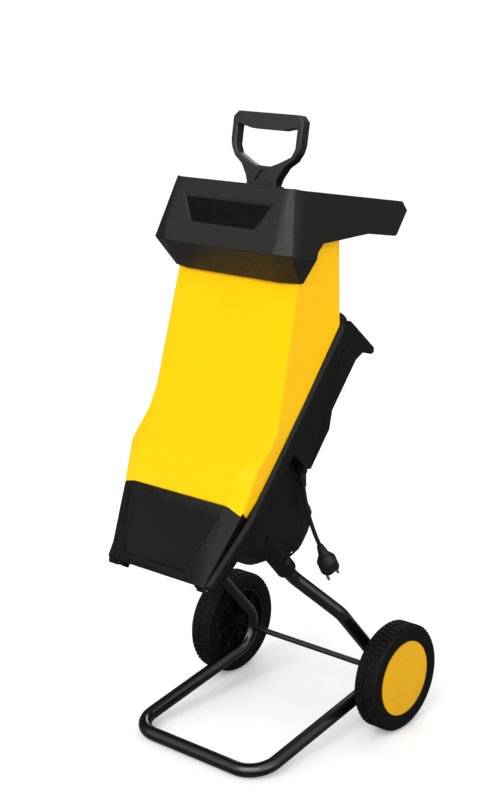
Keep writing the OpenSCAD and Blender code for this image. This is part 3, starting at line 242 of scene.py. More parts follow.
def metal(name, colour, gloss, line, depth, stretch=(1, 1, 1), spread=0.12, metallic=1.0):
    """A bare or plated metal: lines or grit of the given width, and roughness that wanders."""
    material, tree, shader, place = new_material(name)
    turned = add(tree, "ShaderNodeMapping", {"Vector": place, "Scale": stretch})
    grit = add(tree, "ShaderNodeTexNoise", {
        "Vector": turned.outputs[0], "Scale": 1 / line, "Detail": 3.0, "Roughness": 0.6})
    # The bath or the coat mottles over some 30 mm.
    cloud = add(tree, "ShaderNodeTexNoise", {"Vector": place, "Scale": 1 / (30 * MM), "Detail": 3.0})
    mottle = add(tree, "ShaderNodeMapRange", {"Value": cloud.outputs[0], "From Min": 0.3, "From Max": 0.7})
    tint = add(tree, "ShaderNodeMix", {
        0: mottle.outputs[0], 6: shaded(colour, 1 - spread), 7: shaded(colour, 1 + spread)}, data_type="RGBA")
    sheen = add(tree, "ShaderNodeMapRange", {
        "Value": grit.outputs[0], "From Min": 0.3, "From Max": 0.7, "To Min": gloss[0], "To Max": gloss[1]})
    bump = add(tree, "ShaderNodeBump", {"Strength": 0.5, "Distance": depth, "Height": grit.outputs[0]})
    tree.links.new(tint.outputs[2], shader.inputs["Base Color"])
    tree.links.new(sheen.outputs[0], shader.inputs["Roughness"])
    tree.links.new(bump.outputs[0], shader.inputs["Normal"])
    shader.inputs["Metallic"].default_value = metallic
    return material


def wound(name, dark, light, pitch, gloss, axis, metallic):
    """Wire or sheet laid side by side: bands of one pitch along an axis, each with a rounded height."""
    material, tree, shader, place = new_material(name)
    # A wave texture repeats every 2 pi / 20 of its coordinate: 0.314 over the pitch gives one band a pitch.
    band = add(tree, "ShaderNodeTexWave", {
        "Vector": place, "Scale": 0.314 / pitch, "Distortion": 0.4, "Detail": 1.0},
        wave_type="BANDS", bands_direction=axis).outputs[1]
    tint = add(tree, "ShaderNodeMix", {0: band, 6: dark, 7: light}, data_type="RGBA")
    sheen = add(tree, "ShaderNodeMapRange", {"Value": band, "To Min": gloss[1], "To Max": gloss[0]})
    bump = add(tree, "ShaderNodeBump", {"Strength": 0.8, "Distance": pitch * 0.4, "Height": band})
    tree.links.new(tint.outputs[2], shader.inputs["Base Color"])
    tree.links.new(sheen.outputs[0], shader.inputs["Roughness"])
    tree.links.new(bump.outputs[0], shader.inputs["Normal"])
    shader.inputs["Metallic"].default_value = metallic
    return material


# The finishes by their short names.
FINISH = {}


def make_finishes():
    """Makes each finish once, before the pieces that wear it."""
    c = colours()
    # ABS, injection moulded in a polished tool: even satin gloss with a faint ripple of the melt.
    FINISH["yellow"] = moulded(
        "yellow_moulded_abs", c.yellow, gloss=(0.32, 0.44), grain=5 * MM, depth=0.04 * MM,
        worn=linear("#FFCC1E"), spread=0.03, level=0.08)
    # Polypropylene, moulded: softer gloss than ABS, a little chalky where it is handled.
    FINISH["amber"] = moulded(
        "amber_moulded_polypropylene", c.amber, gloss=(0.36, 0.5), grain=4 * MM, depth=0.04 * MM,
        worn=linear("#E9B62E"), spread=0.08, level=0.12)
    # Polypropylene from a spark-eroded tool: a fine leathery grain. The real grain is about 0.4 mm,
    # drawn at 1.5 mm so that it shows.
    FINISH["black"] = moulded(
        "black_grained_polypropylene", c.black, gloss=(0.40, 0.52), grain=1.5 * MM, depth=0.06 * MM,
        worn=linear("#33332F"), spread=0.12)
    # The same plastic from a finer tool, as on the hood: a little smoother. Its base and rubbed colours are
    # painted paler than the other black mouldings: painted light in place of the sheen on the hood's lit
    # front.
    FINISH["hood"] = moulded(
        "black_satin_polypropylene_painted_light", shaded(c.black, 1.4), gloss=(0.40, 0.52), grain=1.5 * MM,
        depth=0.04 * MM, worn=linear("#3A3A36"), spread=0.12, level=0.28)
    # The same plastic from a dull tool, as on the guard: little sheen. Its base and rubbed colours are
    # painted darker than the other black mouldings: painted shade on the guard, low at the front.
    FINISH["guard"] = moulded(
        "black_dull_polypropylene_painted_shade", shaded(c.black, 0.7), gloss=(0.38, 0.5), grain=1.5 * MM,
        depth=0.06 * MM, worn=linear("#2E2E2A"), spread=0.12, level=0.13)
    # The same polypropylene, as on the rear shell, the motor cap and the rims: less shiny, and its base and
    # rubbed colours painted darker still: painted shade on the parts turned away from the light.
    FINISH["shell"] = moulded(
        "black_polypropylene_painted_deep_shade", shaded(c.black, 0.6), gloss=(0.46, 0.58), grain=1.5 * MM,
        depth=0.06 * MM, worn=linear("#1E1E1C"), spread=0.12, level=0.2)
    # Gloss ABS trim plate: smooth, dark and clean.
    FINISH["trim"] = moulded(
        "black_gloss_abs", shaded(c.black, 0.6), gloss=(0.26, 0.32), grain=1 * MM, depth=0.005 * MM,
        worn=linear("#222220"), spread=0.1, level=0.4)
    # Matt ABS plate sunk in the hood: the darkest of the plastics, with hardly any sheen.
    FINISH["panel"] = moulded(
        "matt_black_abs", shaded(c.black, 0.5), gloss=(0.5, 0.6), grain=1 * MM, depth=0.01 * MM,
        worn=linear("#1A1A18"), spread=0.1, level=0.05)
    # Powder coat on tube: deep black gloss with a ripple of about 3 mm.
    FINISH["paint"] = moulded(
        "gloss_black_powder_coat", c.paint, gloss=(0.16, 0.26), grain=3.2 * MM, depth=0.05 * MM,
        worn=linear("#2A2A28"), spread=0.1, level=0.5, coat=0.3)
    # Hard rubber tyre, moulded: matt, dusty in the grooves.
    FINISH["rubber"] = moulded(
        "moulded_tyre_rubber", c.rubber, gloss=(0.58, 0.74), grain=2 * MM, depth=0.08 * MM,
        worn=linear("#1C1C1C"), spread=0.18, level=0.14)
    # Rubber sheath of the lead and the plug moulded on it: matt with a fine skin.
    FINISH["lead"] = moulded(
        "black_lead_rubber", c.lead, gloss=(0.40, 0.52), grain=1.2 * MM, depth=0.04 * MM,
        worn=linear("#262628"), spread=0.12, level=0.4)
    # Zinc plating: bright, slightly mottled by the bath.
    FINISH["zinc"] = metal(
        "zinc_plated_steel", linear("#B9BBBD"), gloss=(0.24, 0.42), line=2 * MM, depth=0.02 * MM)
    # Tool steel, surface ground: fine straight lines across the blade, drawn 0.6 mm apart.
    FINISH["blade"] = metal(
        "ground_tool_steel", linear("#C9CBCE"), gloss=(0.16, 0.34), line=0.6 * MM, depth=0.02 * MM,
        stretch=(1, 0.05, 1))
    # Steel disc, grey coated: patchy where the clippings have rubbed it.
    FINISH["disc"] = metal(
        "grey_coated_steel", linear("#84868A"), gloss=(0.32, 0.5), line=1.5 * MM, depth=0.03 * MM,
        spread=0.2, metallic=0.7)
    # Aluminium, die cast and left as cast: grey, fine grit.
    FINISH["cast"] = metal(
        "die_cast_aluminium", linear("#A6A8AA"), gloss=(0.42, 0.6), line=1 * MM, depth=0.05 * MM)
    # The same casting under a dark coat.
    FINISH["base"] = metal(
        "coated_cast_aluminium", linear("#414145"), gloss=(0.42, 0.6), line=1.2 * MM, depth=0.06 * MM,
        spread=0.15, metallic=0.3)
    # Brass, turned: warm, with the fine grain of the tool.
    FINISH["brass"] = metal(
        "turned_brass", linear("#C39A4B"), gloss=(0.22, 0.36), line=0.8 * MM, depth=0.02 * MM)
    # Brass under bright nickel, as on plug pins.
    FINISH["nickel"] = metal(
        "nickel_plated_brass", linear("#CFCDC6"), gloss=(0.14, 0.24), line=1.5 * MM, depth=0.01 * MM)
    # Electrical steel sheets in a stack: one sheet is 0.5 mm, drawn at 1.2 mm.
    FINISH["sheets"] = wound(
        "stacked_electrical_steel", dark=linear("#3F4144"), light=linear("#7A7C80"), pitch=1.2 * MM,
        gloss=(0.35, 0.6), axis="Y", metallic=0.8)
    # Enamelled copper wire: strands of 0.8 mm, drawn at 1.4 mm.
    FINISH["copper"] = wound(
        "enamelled_copper_winding", dark=linear("#6B3415"), light=linear("#C8793A"), pitch=1.4 * MM,
        gloss=(0.25, 0.5), axis="X", metallic=0.6)
    # Gloss ABS of the switch rocker and the reset button.
    FINISH["green"] = moulded(
        "green_gloss_abs", linear("#1F7A3B"), gloss=(0.2, 0.3), grain=5 * MM, depth=0.01 * MM,
        worn=linear("#4FA468"), spread=0.06)
    FINISH["red"] = moulded(
        "red_gloss_abs", linear("#B3261E"), gloss=(0.2, 0.3), grain=5 * MM, depth=0.01 * MM,
        worn=linear("#D46A62"), spread=0.06)
    # Glass-filled nylon fan: off-white, slightly fibrous.
    FINISH["nylon"] = moulded(
        "glass_filled_nylon", linear("#D9D1BF"), gloss=(0.5, 0.62), grain=1 * MM, depth=0.04 * MM,
        worn=linear("#EFEADF"), spread=0.06)


def joined(items, near):
    """Groups items that are joined to each other; near gives the items next to one."""
    left, groups = set(items), []
    while left:
        queue, group = [left.pop()], []
        while queue:
            item = queue.pop()
            group.append(item)
            found = left.intersection(near(item))
            left -= found
            queue.extend(found)
        groups.append(group)
    return groups


def cad_shape(node, weld=WELD):
    """A copy of a node's mesh with points nearer than weld made one, no fins, and each flat as one face."""
    shape = bmesh.new()
    shape.from_mesh(frame["nodes"][node].data)
    bmesh.ops.remove_doubles(shape, verts=shape.verts, dist=weld)
    shed_fins(shape)
    bmesh.ops.dissolve_limit(
        shape, angle_limit=FLAT_TURN, use_dissolve_boundaries=False, verts=shape.verts, edges=shape.edges)
    return shape


def shed_fins(shape):
    """Takes out the folded slivers that two lengths of tube leave where they touch: small groups of faces
    that hang on edges where more than two faces meet."""
    def beside(face):
        return [other for edge in face.edges if len(edge.link_faces) == 2 for other in edge.link_faces]

    fins = []
    for group in joined(shape.faces, beside):
        hanging = any(len(edge.link_faces) > 2 for face in group for edge in face.edges)
        if hanging and sum(face.calc_area() for face in group) < FIN_AREA:
            fins += group
    bmesh.ops.delete(shape, geom=fins, context="FACES")


def evaluated_mesh(obj):
    """The object's mesh after its modifiers, as a plain mesh; the modifiers are then removed."""
    graph = bpy.context.evaluated_depsgraph_get()
    mesh = bpy.data.meshes.new_from_object(
        obj.evaluated_get(graph), preserve_all_data_layers=True, depsgraph=graph)
    obj.modifiers.clear()
    return mesh


def mesh_object(name, mesh):
    """An object in the scene that holds a mesh."""
    obj = bpy.data.objects.new(name, mesh)
    bpy.context.scene.collection.objects.link(obj)
    return obj


def same_line(loop):
    """The corners that a face's outline passes, from both ends of an edge, before it turns off."""
    found = set()
    for onward in ("link_loop_next", "link_loop_prev"):
        here, there = loop, getattr(loop, onward)
        while there is not loop:
            found |= {here.vert, there.vert}
            beyond = getattr(there, onward)
            if (there.vert.co - here.vert.co).angle(beyond.vert.co - there.vert.co, 0.0) > CHAIN_TURN:
                break
            here, there = there, beyond
    return found


def room_beside(loop):
    """How wide the rounding of an edge may be on one of its faces before it meets something."""
    start, end = loop.vert, loop.link_loop_next.vert
    before, after = loop.link_loop_prev.vert, loop.link_loop_next.link_loop_next.vert
    run = (end.co - start.co).length
    along = (end.co - start.co) / run
    inward = loop.face.normal.cross(along)
    line = same_line(loop) | {start, end, before, after}
    room = []
    for first, second in ((start.co - before.co, end.co - start.co), (end.co - start.co, after.co - end.co)):
        side = first.length + second.length - run
        turn = first.angle(second, 0.0)
        if turn > STRAIGHT_TURN and first.cross(second).dot(loop.face.normal) > 0:
            # At a corner it stays on the side that turns off, and along a bend within the bend's own radius.
            room.append(side * math.sin(turn) if turn > CHAIN_TURN else (run + side) / turn)
    # Across the face, only what lies beside the edge, or up to half its length past its ends, is in the way.
    for vert in loop.face.verts:
        off = vert.co - start.co
        if vert not in line and -0.5 * run < off.dot(along) < 1.5 * run and off.dot(inward) > 0:
            room.append(off.dot(inward))
    return ROOM_SHARE * min(room, default=1.0)


def breadth(face):
    """The mean width of a face."""
    return 2 * face.calc_area() / face.calc_perimeter()


def edge_chains(edges):
    """Groups edges that carry on from each other without a corner."""
    def onward(edge):
        for vert in edge.verts:
            out = vert.co - edge.other_vert(vert).co
            for other in vert.link_edges:
                if out.angle(other.other_vert(vert).co - vert.co, math.pi) < CHAIN_TURN:
                    yield other

    return joined(edges, onward)


def ease_edges(shape, width, fine, broad):
    """Marks the sharp outer edges with the share of width that each one's rounding takes: the whole of it
    between faces at least as wide as broad, and fine elsewhere, where there is room."""
    share = shape.edges.layers.float.new("bevel_weight_edge")
    sharp = [edge for edge in shape.edges if edge.is_manifold and edge.is_convex
             and edge.calc_face_angle(0) > SHARP_EDGE]
    wide = {edge for edge in sharp if min(breadth(face) for face in edge.link_faces) > broad}
    for edges, wanted in ((wide, width), ([edge for edge in sharp if edge not in wide], fine)):
        for chain in edge_chains(edges):
            room = min(room_beside(loop) for edge in chain for loop in edge.link_loops)
            for edge in chain:
                edge[share] = min(wanted, room) / width if room > LEAST_ROUNDING else 0.0


def bow_corners(shape):
    """Bows the hood's two front corners into soft ones: the most at the rim, and none at the crease below."""
    reach, steps = sizes().hood_corner, 8
    # The corners are the outermost of the long edges that stand nearly upright.
    least_length, least_rise = 60 * MM, 0.8
    rising = [edge for edge in shape.edges if edge.calc_length() > least_length
              and abs((edge.verts[1].co - edge.verts[0].co).normalized().z) > least_rise]
    corner = max(rising, key=lambda edge: max(vert.co.x for vert in edge.verts))
    low, high = sorted((vert.co.copy() for vert in corner.verts), key=lambda place: place.z)
    lean = high - low
    for side in (1, -1):
        flip = Vector((side, 1, 1))
        for step in range(1, steps + 1):
            away = reach * step / steps
            for off, across in (((-away, 0, 0), (0, 1, 0)), ((0, away, 0), (1, 0, 0))):
                near = [face for face in shape.faces if face.calc_center_median().x * side > 0
                        and min(vert.co.y for vert in face.verts) < low.y + 3 * reach]
                parts = {part for face in near for part in (face, *face.edges, *face.verts)}
                bmesh.ops.bisect_plane(
                    shape, geom=list(parts), dist=0.001 * MM, plane_co=(low + Vector(off)) * flip,
                    plane_no=lean.cross(Vector(across)) * flip)
        for vert in shape.verts:
            rise = max(0.0, min(1.0, (vert.co.z - low.z) / lean.z))
            spot = low + lean * rise
            past = max(spot.x - vert.co.x * side, vert.co.y - spot.y)
            span = reach * rise
            if vert.co.x * side > 0 and past < span:
                # This much, inward and back, turns a square corner into a parabola of span on each side.
                move = span / 4 * (1 - past / span) ** 2
                vert.co += Vector((-move * side, move, 0))


def splay_recess(shape):
    """Splays the walls of the guard's recess: they lean open towards its foot, where it is deepest."""
    floor = max((face for face in shape.faces if face.normal.y < -0.5), key=lambda face: face.calc_area())
    foot = min((vert.co.copy() for vert in floor.verts), key=lambda place: place.z)
    head = max((vert.co.copy() for vert in floor.verts), key=lambda place: place.z)
    climb = Vector((0, head.y - foot.y, head.z - foot.z)).normalized()
    for vert in floor.verts:
        share = sizes().recess_splay * (head.z - vert.co.z) / (head.z - foot.z)
        vert.co += climb * share - Vector((math.copysign(share, vert.co.x), 0, 0))


def round_edges(obj, width, segments, reshape=None):
    """Rounds the marked edges, reshapes the result and evens the shading of the flats."""
    if width > 0:
        bevel = obj.modifiers.new("edges", "BEVEL")
        bevel.width = width
        bevel.segments = segments
        bevel.limit_method = "WEIGHT"
        bevel.use_clamp_overlap = False
        bevel.loop_slide = False
        obj.data = evaluated_mesh(obj)
    if reshape:
        shape = bmesh.new()
        shape.from_mesh(obj.data)
        reshape(shape)
        shape.to_mesh(obj.data)
        shape.free()
    obj.data.polygons.foreach_set("use_smooth", [True] * len(obj.data.polygons))
    obj.data.set_sharp_from_angle(angle=CRISP_MOULDING)
    even = obj.modifiers.new("flats", "WEIGHTED_NORMAL")
    even.keep_sharp = True
    obj.data = evaluated_mesh(obj)


def dress(node, finish, width=0.0, segments=2, slot=None, reshape=None, broad=BROAD_FACE, weld=WELD):
    """Stands a rounded copy of a node in its place, on its body, in a finish."""
    shape = cad_shape(node, weld)
    if width > 0:
        ease_edges(shape, width, min(width, sizes().trim_edge), broad)
    mesh = bpy.data.meshes.new(node + "_made")
    shape.to_mesh(mesh)
    shape.free()
    piece = mesh_object(node + "_made", mesh)
    round_edges(piece, width, segments, reshape)
    return settle(piece, finish, frame["nodes"][node]["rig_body"], slot, node)


def settle(piece, finish, body, slot=None, *nodes):
    """Gives a piece its finish and its body, and hides the nodes it stands for. The slot is not used."""
    piece.data.materials.clear()
    piece.data.materials.append(FINISH[finish])
    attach(piece, body)
    if nodes:
        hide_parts(*nodes)
    return piece


def keep(node, finish):
    """Leaves a node as it is and gives it a finish."""
    obj = frame["nodes"][node]
    obj.data.materials.clear()
    obj.data.materials.append(FINISH[finish])


def node_tree(name, inputs):
    """A geometry tree with named inputs; returns it, and its input sockets and identifiers by name."""
    tree = bpy.data.node_groups.new(name, "GeometryNodeTree")
    tree.interface.new_socket("Geometry", in_out="OUTPUT", socket_type="NodeSocketGeometry")
    identifiers = {}
    for label, kind in inputs.items():
        identifiers[label] = tree.interface.new_socket(
            label, in_out="INPUT", socket_type="NodeSocket" + kind).identifier
    start = add(tree, "NodeGroupInput")
    return tree, {label: start.outputs[label] for label in inputs}, identifiers


def close_tree(tree, geometry, material):
    """Ends a tree in real, smooth, dressed mesh."""
    real = add(tree, "GeometryNodeRealizeInstances", {0: geometry})
    smooth = add(tree, "GeometryNodeSetShadeSmooth", {0: real.outputs[0]})
    worn = add(tree, "GeometryNodeSetMaterial", {0: smooth.outputs[0], "Material": material})
    add(tree, "NodeGroupOutput", {0: worn.outputs[0]})


def grow(name, mesh, tree, identifiers, values):
    """Runs a tree on a mesh and returns an object that holds the result as a plain mesh."""
    obj = mesh_object(name, mesh)
    modifier = obj.modifiers.new("grow", "NODES")
    modifier.node_group = tree
    for label, value in values.items():
        modifier[identifiers[label]] = value
    obj.data = evaluated_mesh(obj)
    return obj


def tyre_tree():
    """A tyre: a rounded section swept round a ring, with two rows of tapered lugs half a step apart."""
    tree, size, ids = node_tree("tyre_with_lugs", {
        "Ring radius": "Float", "Depth": "Float", "Width": "Float", "Shoulder": "Float", "Lugs": "Int",
        "Lug radius": "Float", "Lug size": "Vector", "Lug top": "Float", "Row": "Vector",
        "Row turn": "Vector", "Place": "Vector", "Material": "Material"})
    ring = add(tree, "GeometryNodeCurvePrimitiveCircle", {"Resolution": 120, "Radius": size["Ring radius"]})
    level = add(tree, "GeometryNodeSetCurveNormal", {0: ring.outputs[0]}, mode="Z_UP")
    section = add(tree, "GeometryNodeCurvePrimitiveQuadrilateral", {
        "Width": size["Depth"], "Height": size["Width"]})
    soft = add(tree, "GeometryNodeFilletCurve", {
        0: section.outputs[0], "Count": 5, "Radius": size["Shoulder"]}, mode="POLY")
    band = add(tree, "GeometryNodeCurveToMesh", {0: level.outputs[0], "Profile Curve": soft.outputs[0]})
    # A lug is a block that narrows towards its top, its +X end before it is laid on the band.
    block = add(tree, "GeometryNodeMeshCube", {"Size": size["Lug size"]})
    spot = add(tree, "GeometryNodeInputPosition").outputs[0]
    high = add(tree, "ShaderNodeMath", {
        0: add(tree, "ShaderNodeSeparateXYZ", {0: spot}).outputs[0], 1: 0.0}, operation="GREATER_THAN")
    narrow = add(tree, "ShaderNodeMapRange", {
        "Value": high.outputs[0], "To Min": 1.0, "To Max": size["Lug top"]})
    squeeze = add(tree, "ShaderNodeCombineXYZ", {0: 1.0, 1: narrow.outputs[0], 2: narrow.outputs[0]})
    tapered = add(tree, "ShaderNodeVectorMath", {0: spot, 1: squeeze.outputs[0]}, operation="MULTIPLY")
    lug = add(tree, "GeometryNodeSetPosition", {0: block.outputs[0], "Position": tapered.outputs[0]})
    spots = add(tree, "GeometryNodeCurvePrimitiveCircle", {
        "Resolution": size["Lugs"], "Radius": size["Lug radius"]})
    facing = add(tree, "FunctionNodeAlignRotationToVector", {"Vector": spot}, axis="X", pivot_axis="Z")
    row = add(tree, "GeometryNodeInstanceOnPoints", {
        "Points": spots.outputs[0], "Instance": lug.outputs[0], "Rotation": facing.outputs[0]})
    back = add(tree, "ShaderNodeVectorMath", {0: size["Row"], "Scale": -1.0}, operation="SCALE")
    first = add(tree, "GeometryNodeTransform", {0: row.outputs[0], "Translation": back.outputs[0]})
    second = add(tree, "GeometryNodeTransform", {
        0: row.outputs[0], "Translation": size["Row"], "Rotation": size["Row turn"]})
    whole = add(tree, "GeometryNodeJoinGeometry", {0: band.outputs[0]})
    for lugs in (first, second):
        tree.links.new(lugs.outputs[0], whole.inputs[0])
    upright = add(tree, "GeometryNodeTransform", {
        0: whole.outputs[0], "Translation": size["Place"], "Rotation": (0, math.pi / 2, 0)})
    close_tree(tree, upright.outputs[0], size["Material"])
    return tree, ids


def rib_tree():
    """Rings along a straight line, from a first radius to a last one, as on the boot of a lead."""
    tree, size, ids = node_tree("boot_ribs", {
        "From": "Vector", "To": "Vector", "Ribs": "Int", "First radius": "Float", "Last radius": "Float",
        "Rib": "Float", "Material": "Material"})
    line = add(tree, "GeometryNodeMeshLine", {
        "Count": size["Ribs"], "Start Location": size["From"], "Offset": size["To"]}, mode="END_POINTS")
    last = add(tree, "ShaderNodeMath", {0: size["Ribs"], 1: 1.0}, operation="SUBTRACT")
    radius = add(tree, "ShaderNodeMapRange", {
        "Value": add(tree, "GeometryNodeInputIndex").outputs[0], "From Max": last.outputs[0],
        "To Min": size["First radius"], "To Max": size["Last radius"]})
    hoop = add(tree, "GeometryNodeCurvePrimitiveCircle", {"Resolution": 32, "Radius": 1.0})
    bead = add(tree, "GeometryNodeCurvePrimitiveCircle", {"Resolution": 8, "Radius": size["Rib"]})
    ring = add(tree, "GeometryNodeCurveToMesh", {0: hoop.outputs[0], "Profile Curve": bead.outputs[0]})
    run = add(tree, "ShaderNodeVectorMath", {0: size["To"], 1: size["From"]}, operation="SUBTRACT")
    facing = add(tree, "FunctionNodeAlignRotationToVector", {"Vector": run.outputs[0]}, axis="Z")
    rings = add(tree, "GeometryNodeInstanceOnPoints", {
        "Points": line.outputs[0], "Instance": ring.outputs[0], "Rotation": facing.outputs[0],
        "Scale": radius.outputs[0]})
    close_tree(tree, rings.outputs[0], size["Material"])
    return tree, ids


def screw_tree():
    """Pan-head screws with a crossed recess, one at each point, along its axis and at its size."""
    tree, size, ids = node_tree("pan_head_screws", {
        "Geometry": "Geometry", "Head height": "Float", "Crown": "Float", "Recess": "Vector",
        "Material": "Material"})
    # The head has a radius of 1 and is scaled by each point's own radius.
    low = add(tree, "GeometryNodeMeshCylinder", {"Vertices": 24, "Radius": 1.0, "Depth": size["Head height"]})
    spot = add(tree, "GeometryNodeInputPosition").outputs[0]
    high = add(tree, "ShaderNodeMath", {
        0: add(tree, "ShaderNodeSeparateXYZ", {0: spot}).outputs[2], 1: 0.0}, operation="GREATER_THAN")
    pull = add(tree, "ShaderNodeMapRange", {"Value": high.outputs[0], "To Min": 1.0, "To Max": size["Crown"]})
    squeeze = add(tree, "ShaderNodeCombineXYZ", {0: pull.outputs[0], 1: pull.outputs[0], 2: 1.0})
    domed = add(tree, "ShaderNodeVectorMath", {0: spot, 1: squeeze.outputs[0]}, operation="MULTIPLY")
    head = add(tree, "GeometryNodeSetPosition", {0: low.outputs[0], "Position": domed.outputs[0]})
    blade = add(tree, "GeometryNodeMeshCube", {"Size": size["Recess"]})
    over = add(tree, "ShaderNodeCombineXYZ", {2: size["Head height"]})
    cuts = add(tree, "GeometryNodeJoinGeometry")
    for turn in (0, math.pi / 2):
        raised = add(tree, "GeometryNodeTransform", {
            0: blade.outputs[0], "Translation": over.outputs[0], "Rotation": (0, 0, turn)})
        tree.links.new(raised.outputs[0], cuts.inputs[0])
    crossed = add(tree, "GeometryNodeMeshBoolean", {
        0: head.outputs[0], 1: cuts.outputs[0]}, operation="DIFFERENCE", solver="EXACT")
    axis = add(tree, "GeometryNodeInputNamedAttribute", {"Name": "axis"}, data_type="FLOAT_VECTOR").outputs[0]
    width = add(tree, "GeometryNodeInputNamedAttribute", {"Name": "head"}, data_type="FLOAT").outputs[0]
    run = add(tree, "GeometryNodeInputNamedAttribute", {"Name": "run"}, data_type="FLOAT").outputs[0]
    facing = add(tree, "FunctionNodeAlignRotationToVector", {"Vector": axis}, axis="Z")
    heads = add(tree, "GeometryNodeInstanceOnPoints", {
        "Points": size["Geometry"], "Instance": crossed.outputs[0], "Rotation": facing.outputs[0],
        "Scale": width})
    pin = add(tree, "GeometryNodeMeshCylinder", {"Vertices": 12, "Radius": 0.5, "Depth": 1.0})
    sunk = add(tree, "GeometryNodeTransform", {0: pin.outputs[0], "Translation": (0, 0, -0.5)})
    stretch = add(tree, "ShaderNodeCombineXYZ", {0: width, 1: width, 2: run})
    shanks = add(tree, "GeometryNodeInstanceOnPoints", {
        "Points": size["Geometry"], "Instance": sunk.outputs[0], "Rotation": facing.outputs[0],
        "Scale": stretch.outputs[0]})
    both = add(tree, "GeometryNodeJoinGeometry", {0: heads.outputs[0]})
    tree.links.new(shanks.outputs[0], both.inputs[0])
    close_tree(tree, both.outputs[0], size["Material"])
    return tree, ids


def islands(node):
    """The separate shapes in a node, each as a list of points."""
    shape = cad_shape(node)
    groups = joined(shape.verts, lambda vert: [edge.other_vert(vert) for edge in vert.link_edges])
    places = [[vert.co.copy() for vert in group] for group in groups]
    shape.free()
    return places


def screw_facts(points):
    """A screw's head centre, outward axis, head radius and shank length, from its points."""
    # The axis is the direction in which the points spread the most: a first guess is turned towards it.
    turns = 60
    centre = sum(points, Vector()) / len(points)
    spread = Matrix(((0, 0, 0), (0, 0, 0), (0, 0, 0)))
    for p in points:
        d = p - centre
        spread = spread + Matrix([[d[i] * d[j] for j in range(3)] for i in range(3)])
    axis = Vector((0.3, 0.5, 0.8))
    for _ in range(turns):
        axis = (spread @ axis).normalized()
    along = [(p - centre).dot(axis) for p in points]
    low, high = min(along), max(along)

    def wide(at):
        """The screw's radius at one of its ends."""
        return max(((p - centre) - axis * a).length for p, a in zip(points, along) if abs(a - at) < 0.3 * MM)
    head = max(((p - centre) - axis * a).length for p, a in zip(points, along))
    if wide(low) > wide(high):
        axis, low, high = -axis, -high, -low
    return centre + axis * high, axis, head, high - low


def set_screws(node, finish, slot, height=0.62):
    """Stands crossed pan-head screws in place of a node's plain ones."""
    facts = [screw_facts(group) for group in islands(node)]
    mesh = bpy.data.meshes.new(node + "_made")
    mesh.from_pydata([top - axis * head * height / 2 for top, axis, head, _ in facts], [], [])
    for label, kind in (("axis", "FLOAT_VECTOR"), ("head", "FLOAT"), ("run", "FLOAT")):
        mesh.attributes.new(label, kind, "POINT")
    for i, (_, axis, head, run) in enumerate(facts):
        mesh.attributes["axis"].data[i].vector = axis
        mesh.attributes["head"].data[i].value = head
        mesh.attributes["run"].data[i].value = run - head * height / 2
    tree, ids = screw_tree()
    # All in head radii: the head's height, its narrower top, and the recess's length, width and depth.
    piece = grow(node + "_made", mesh, tree, ids, {
        "Head height": height, "Crown": 0.78, "Recess": (1.0, 0.2, 0.7), "Material": FINISH[finish]})
    piece.data.set_sharp_from_angle(angle=CRISP_SCREW)
    return settle(piece, finish, frame["nodes"][node]["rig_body"], slot, node)


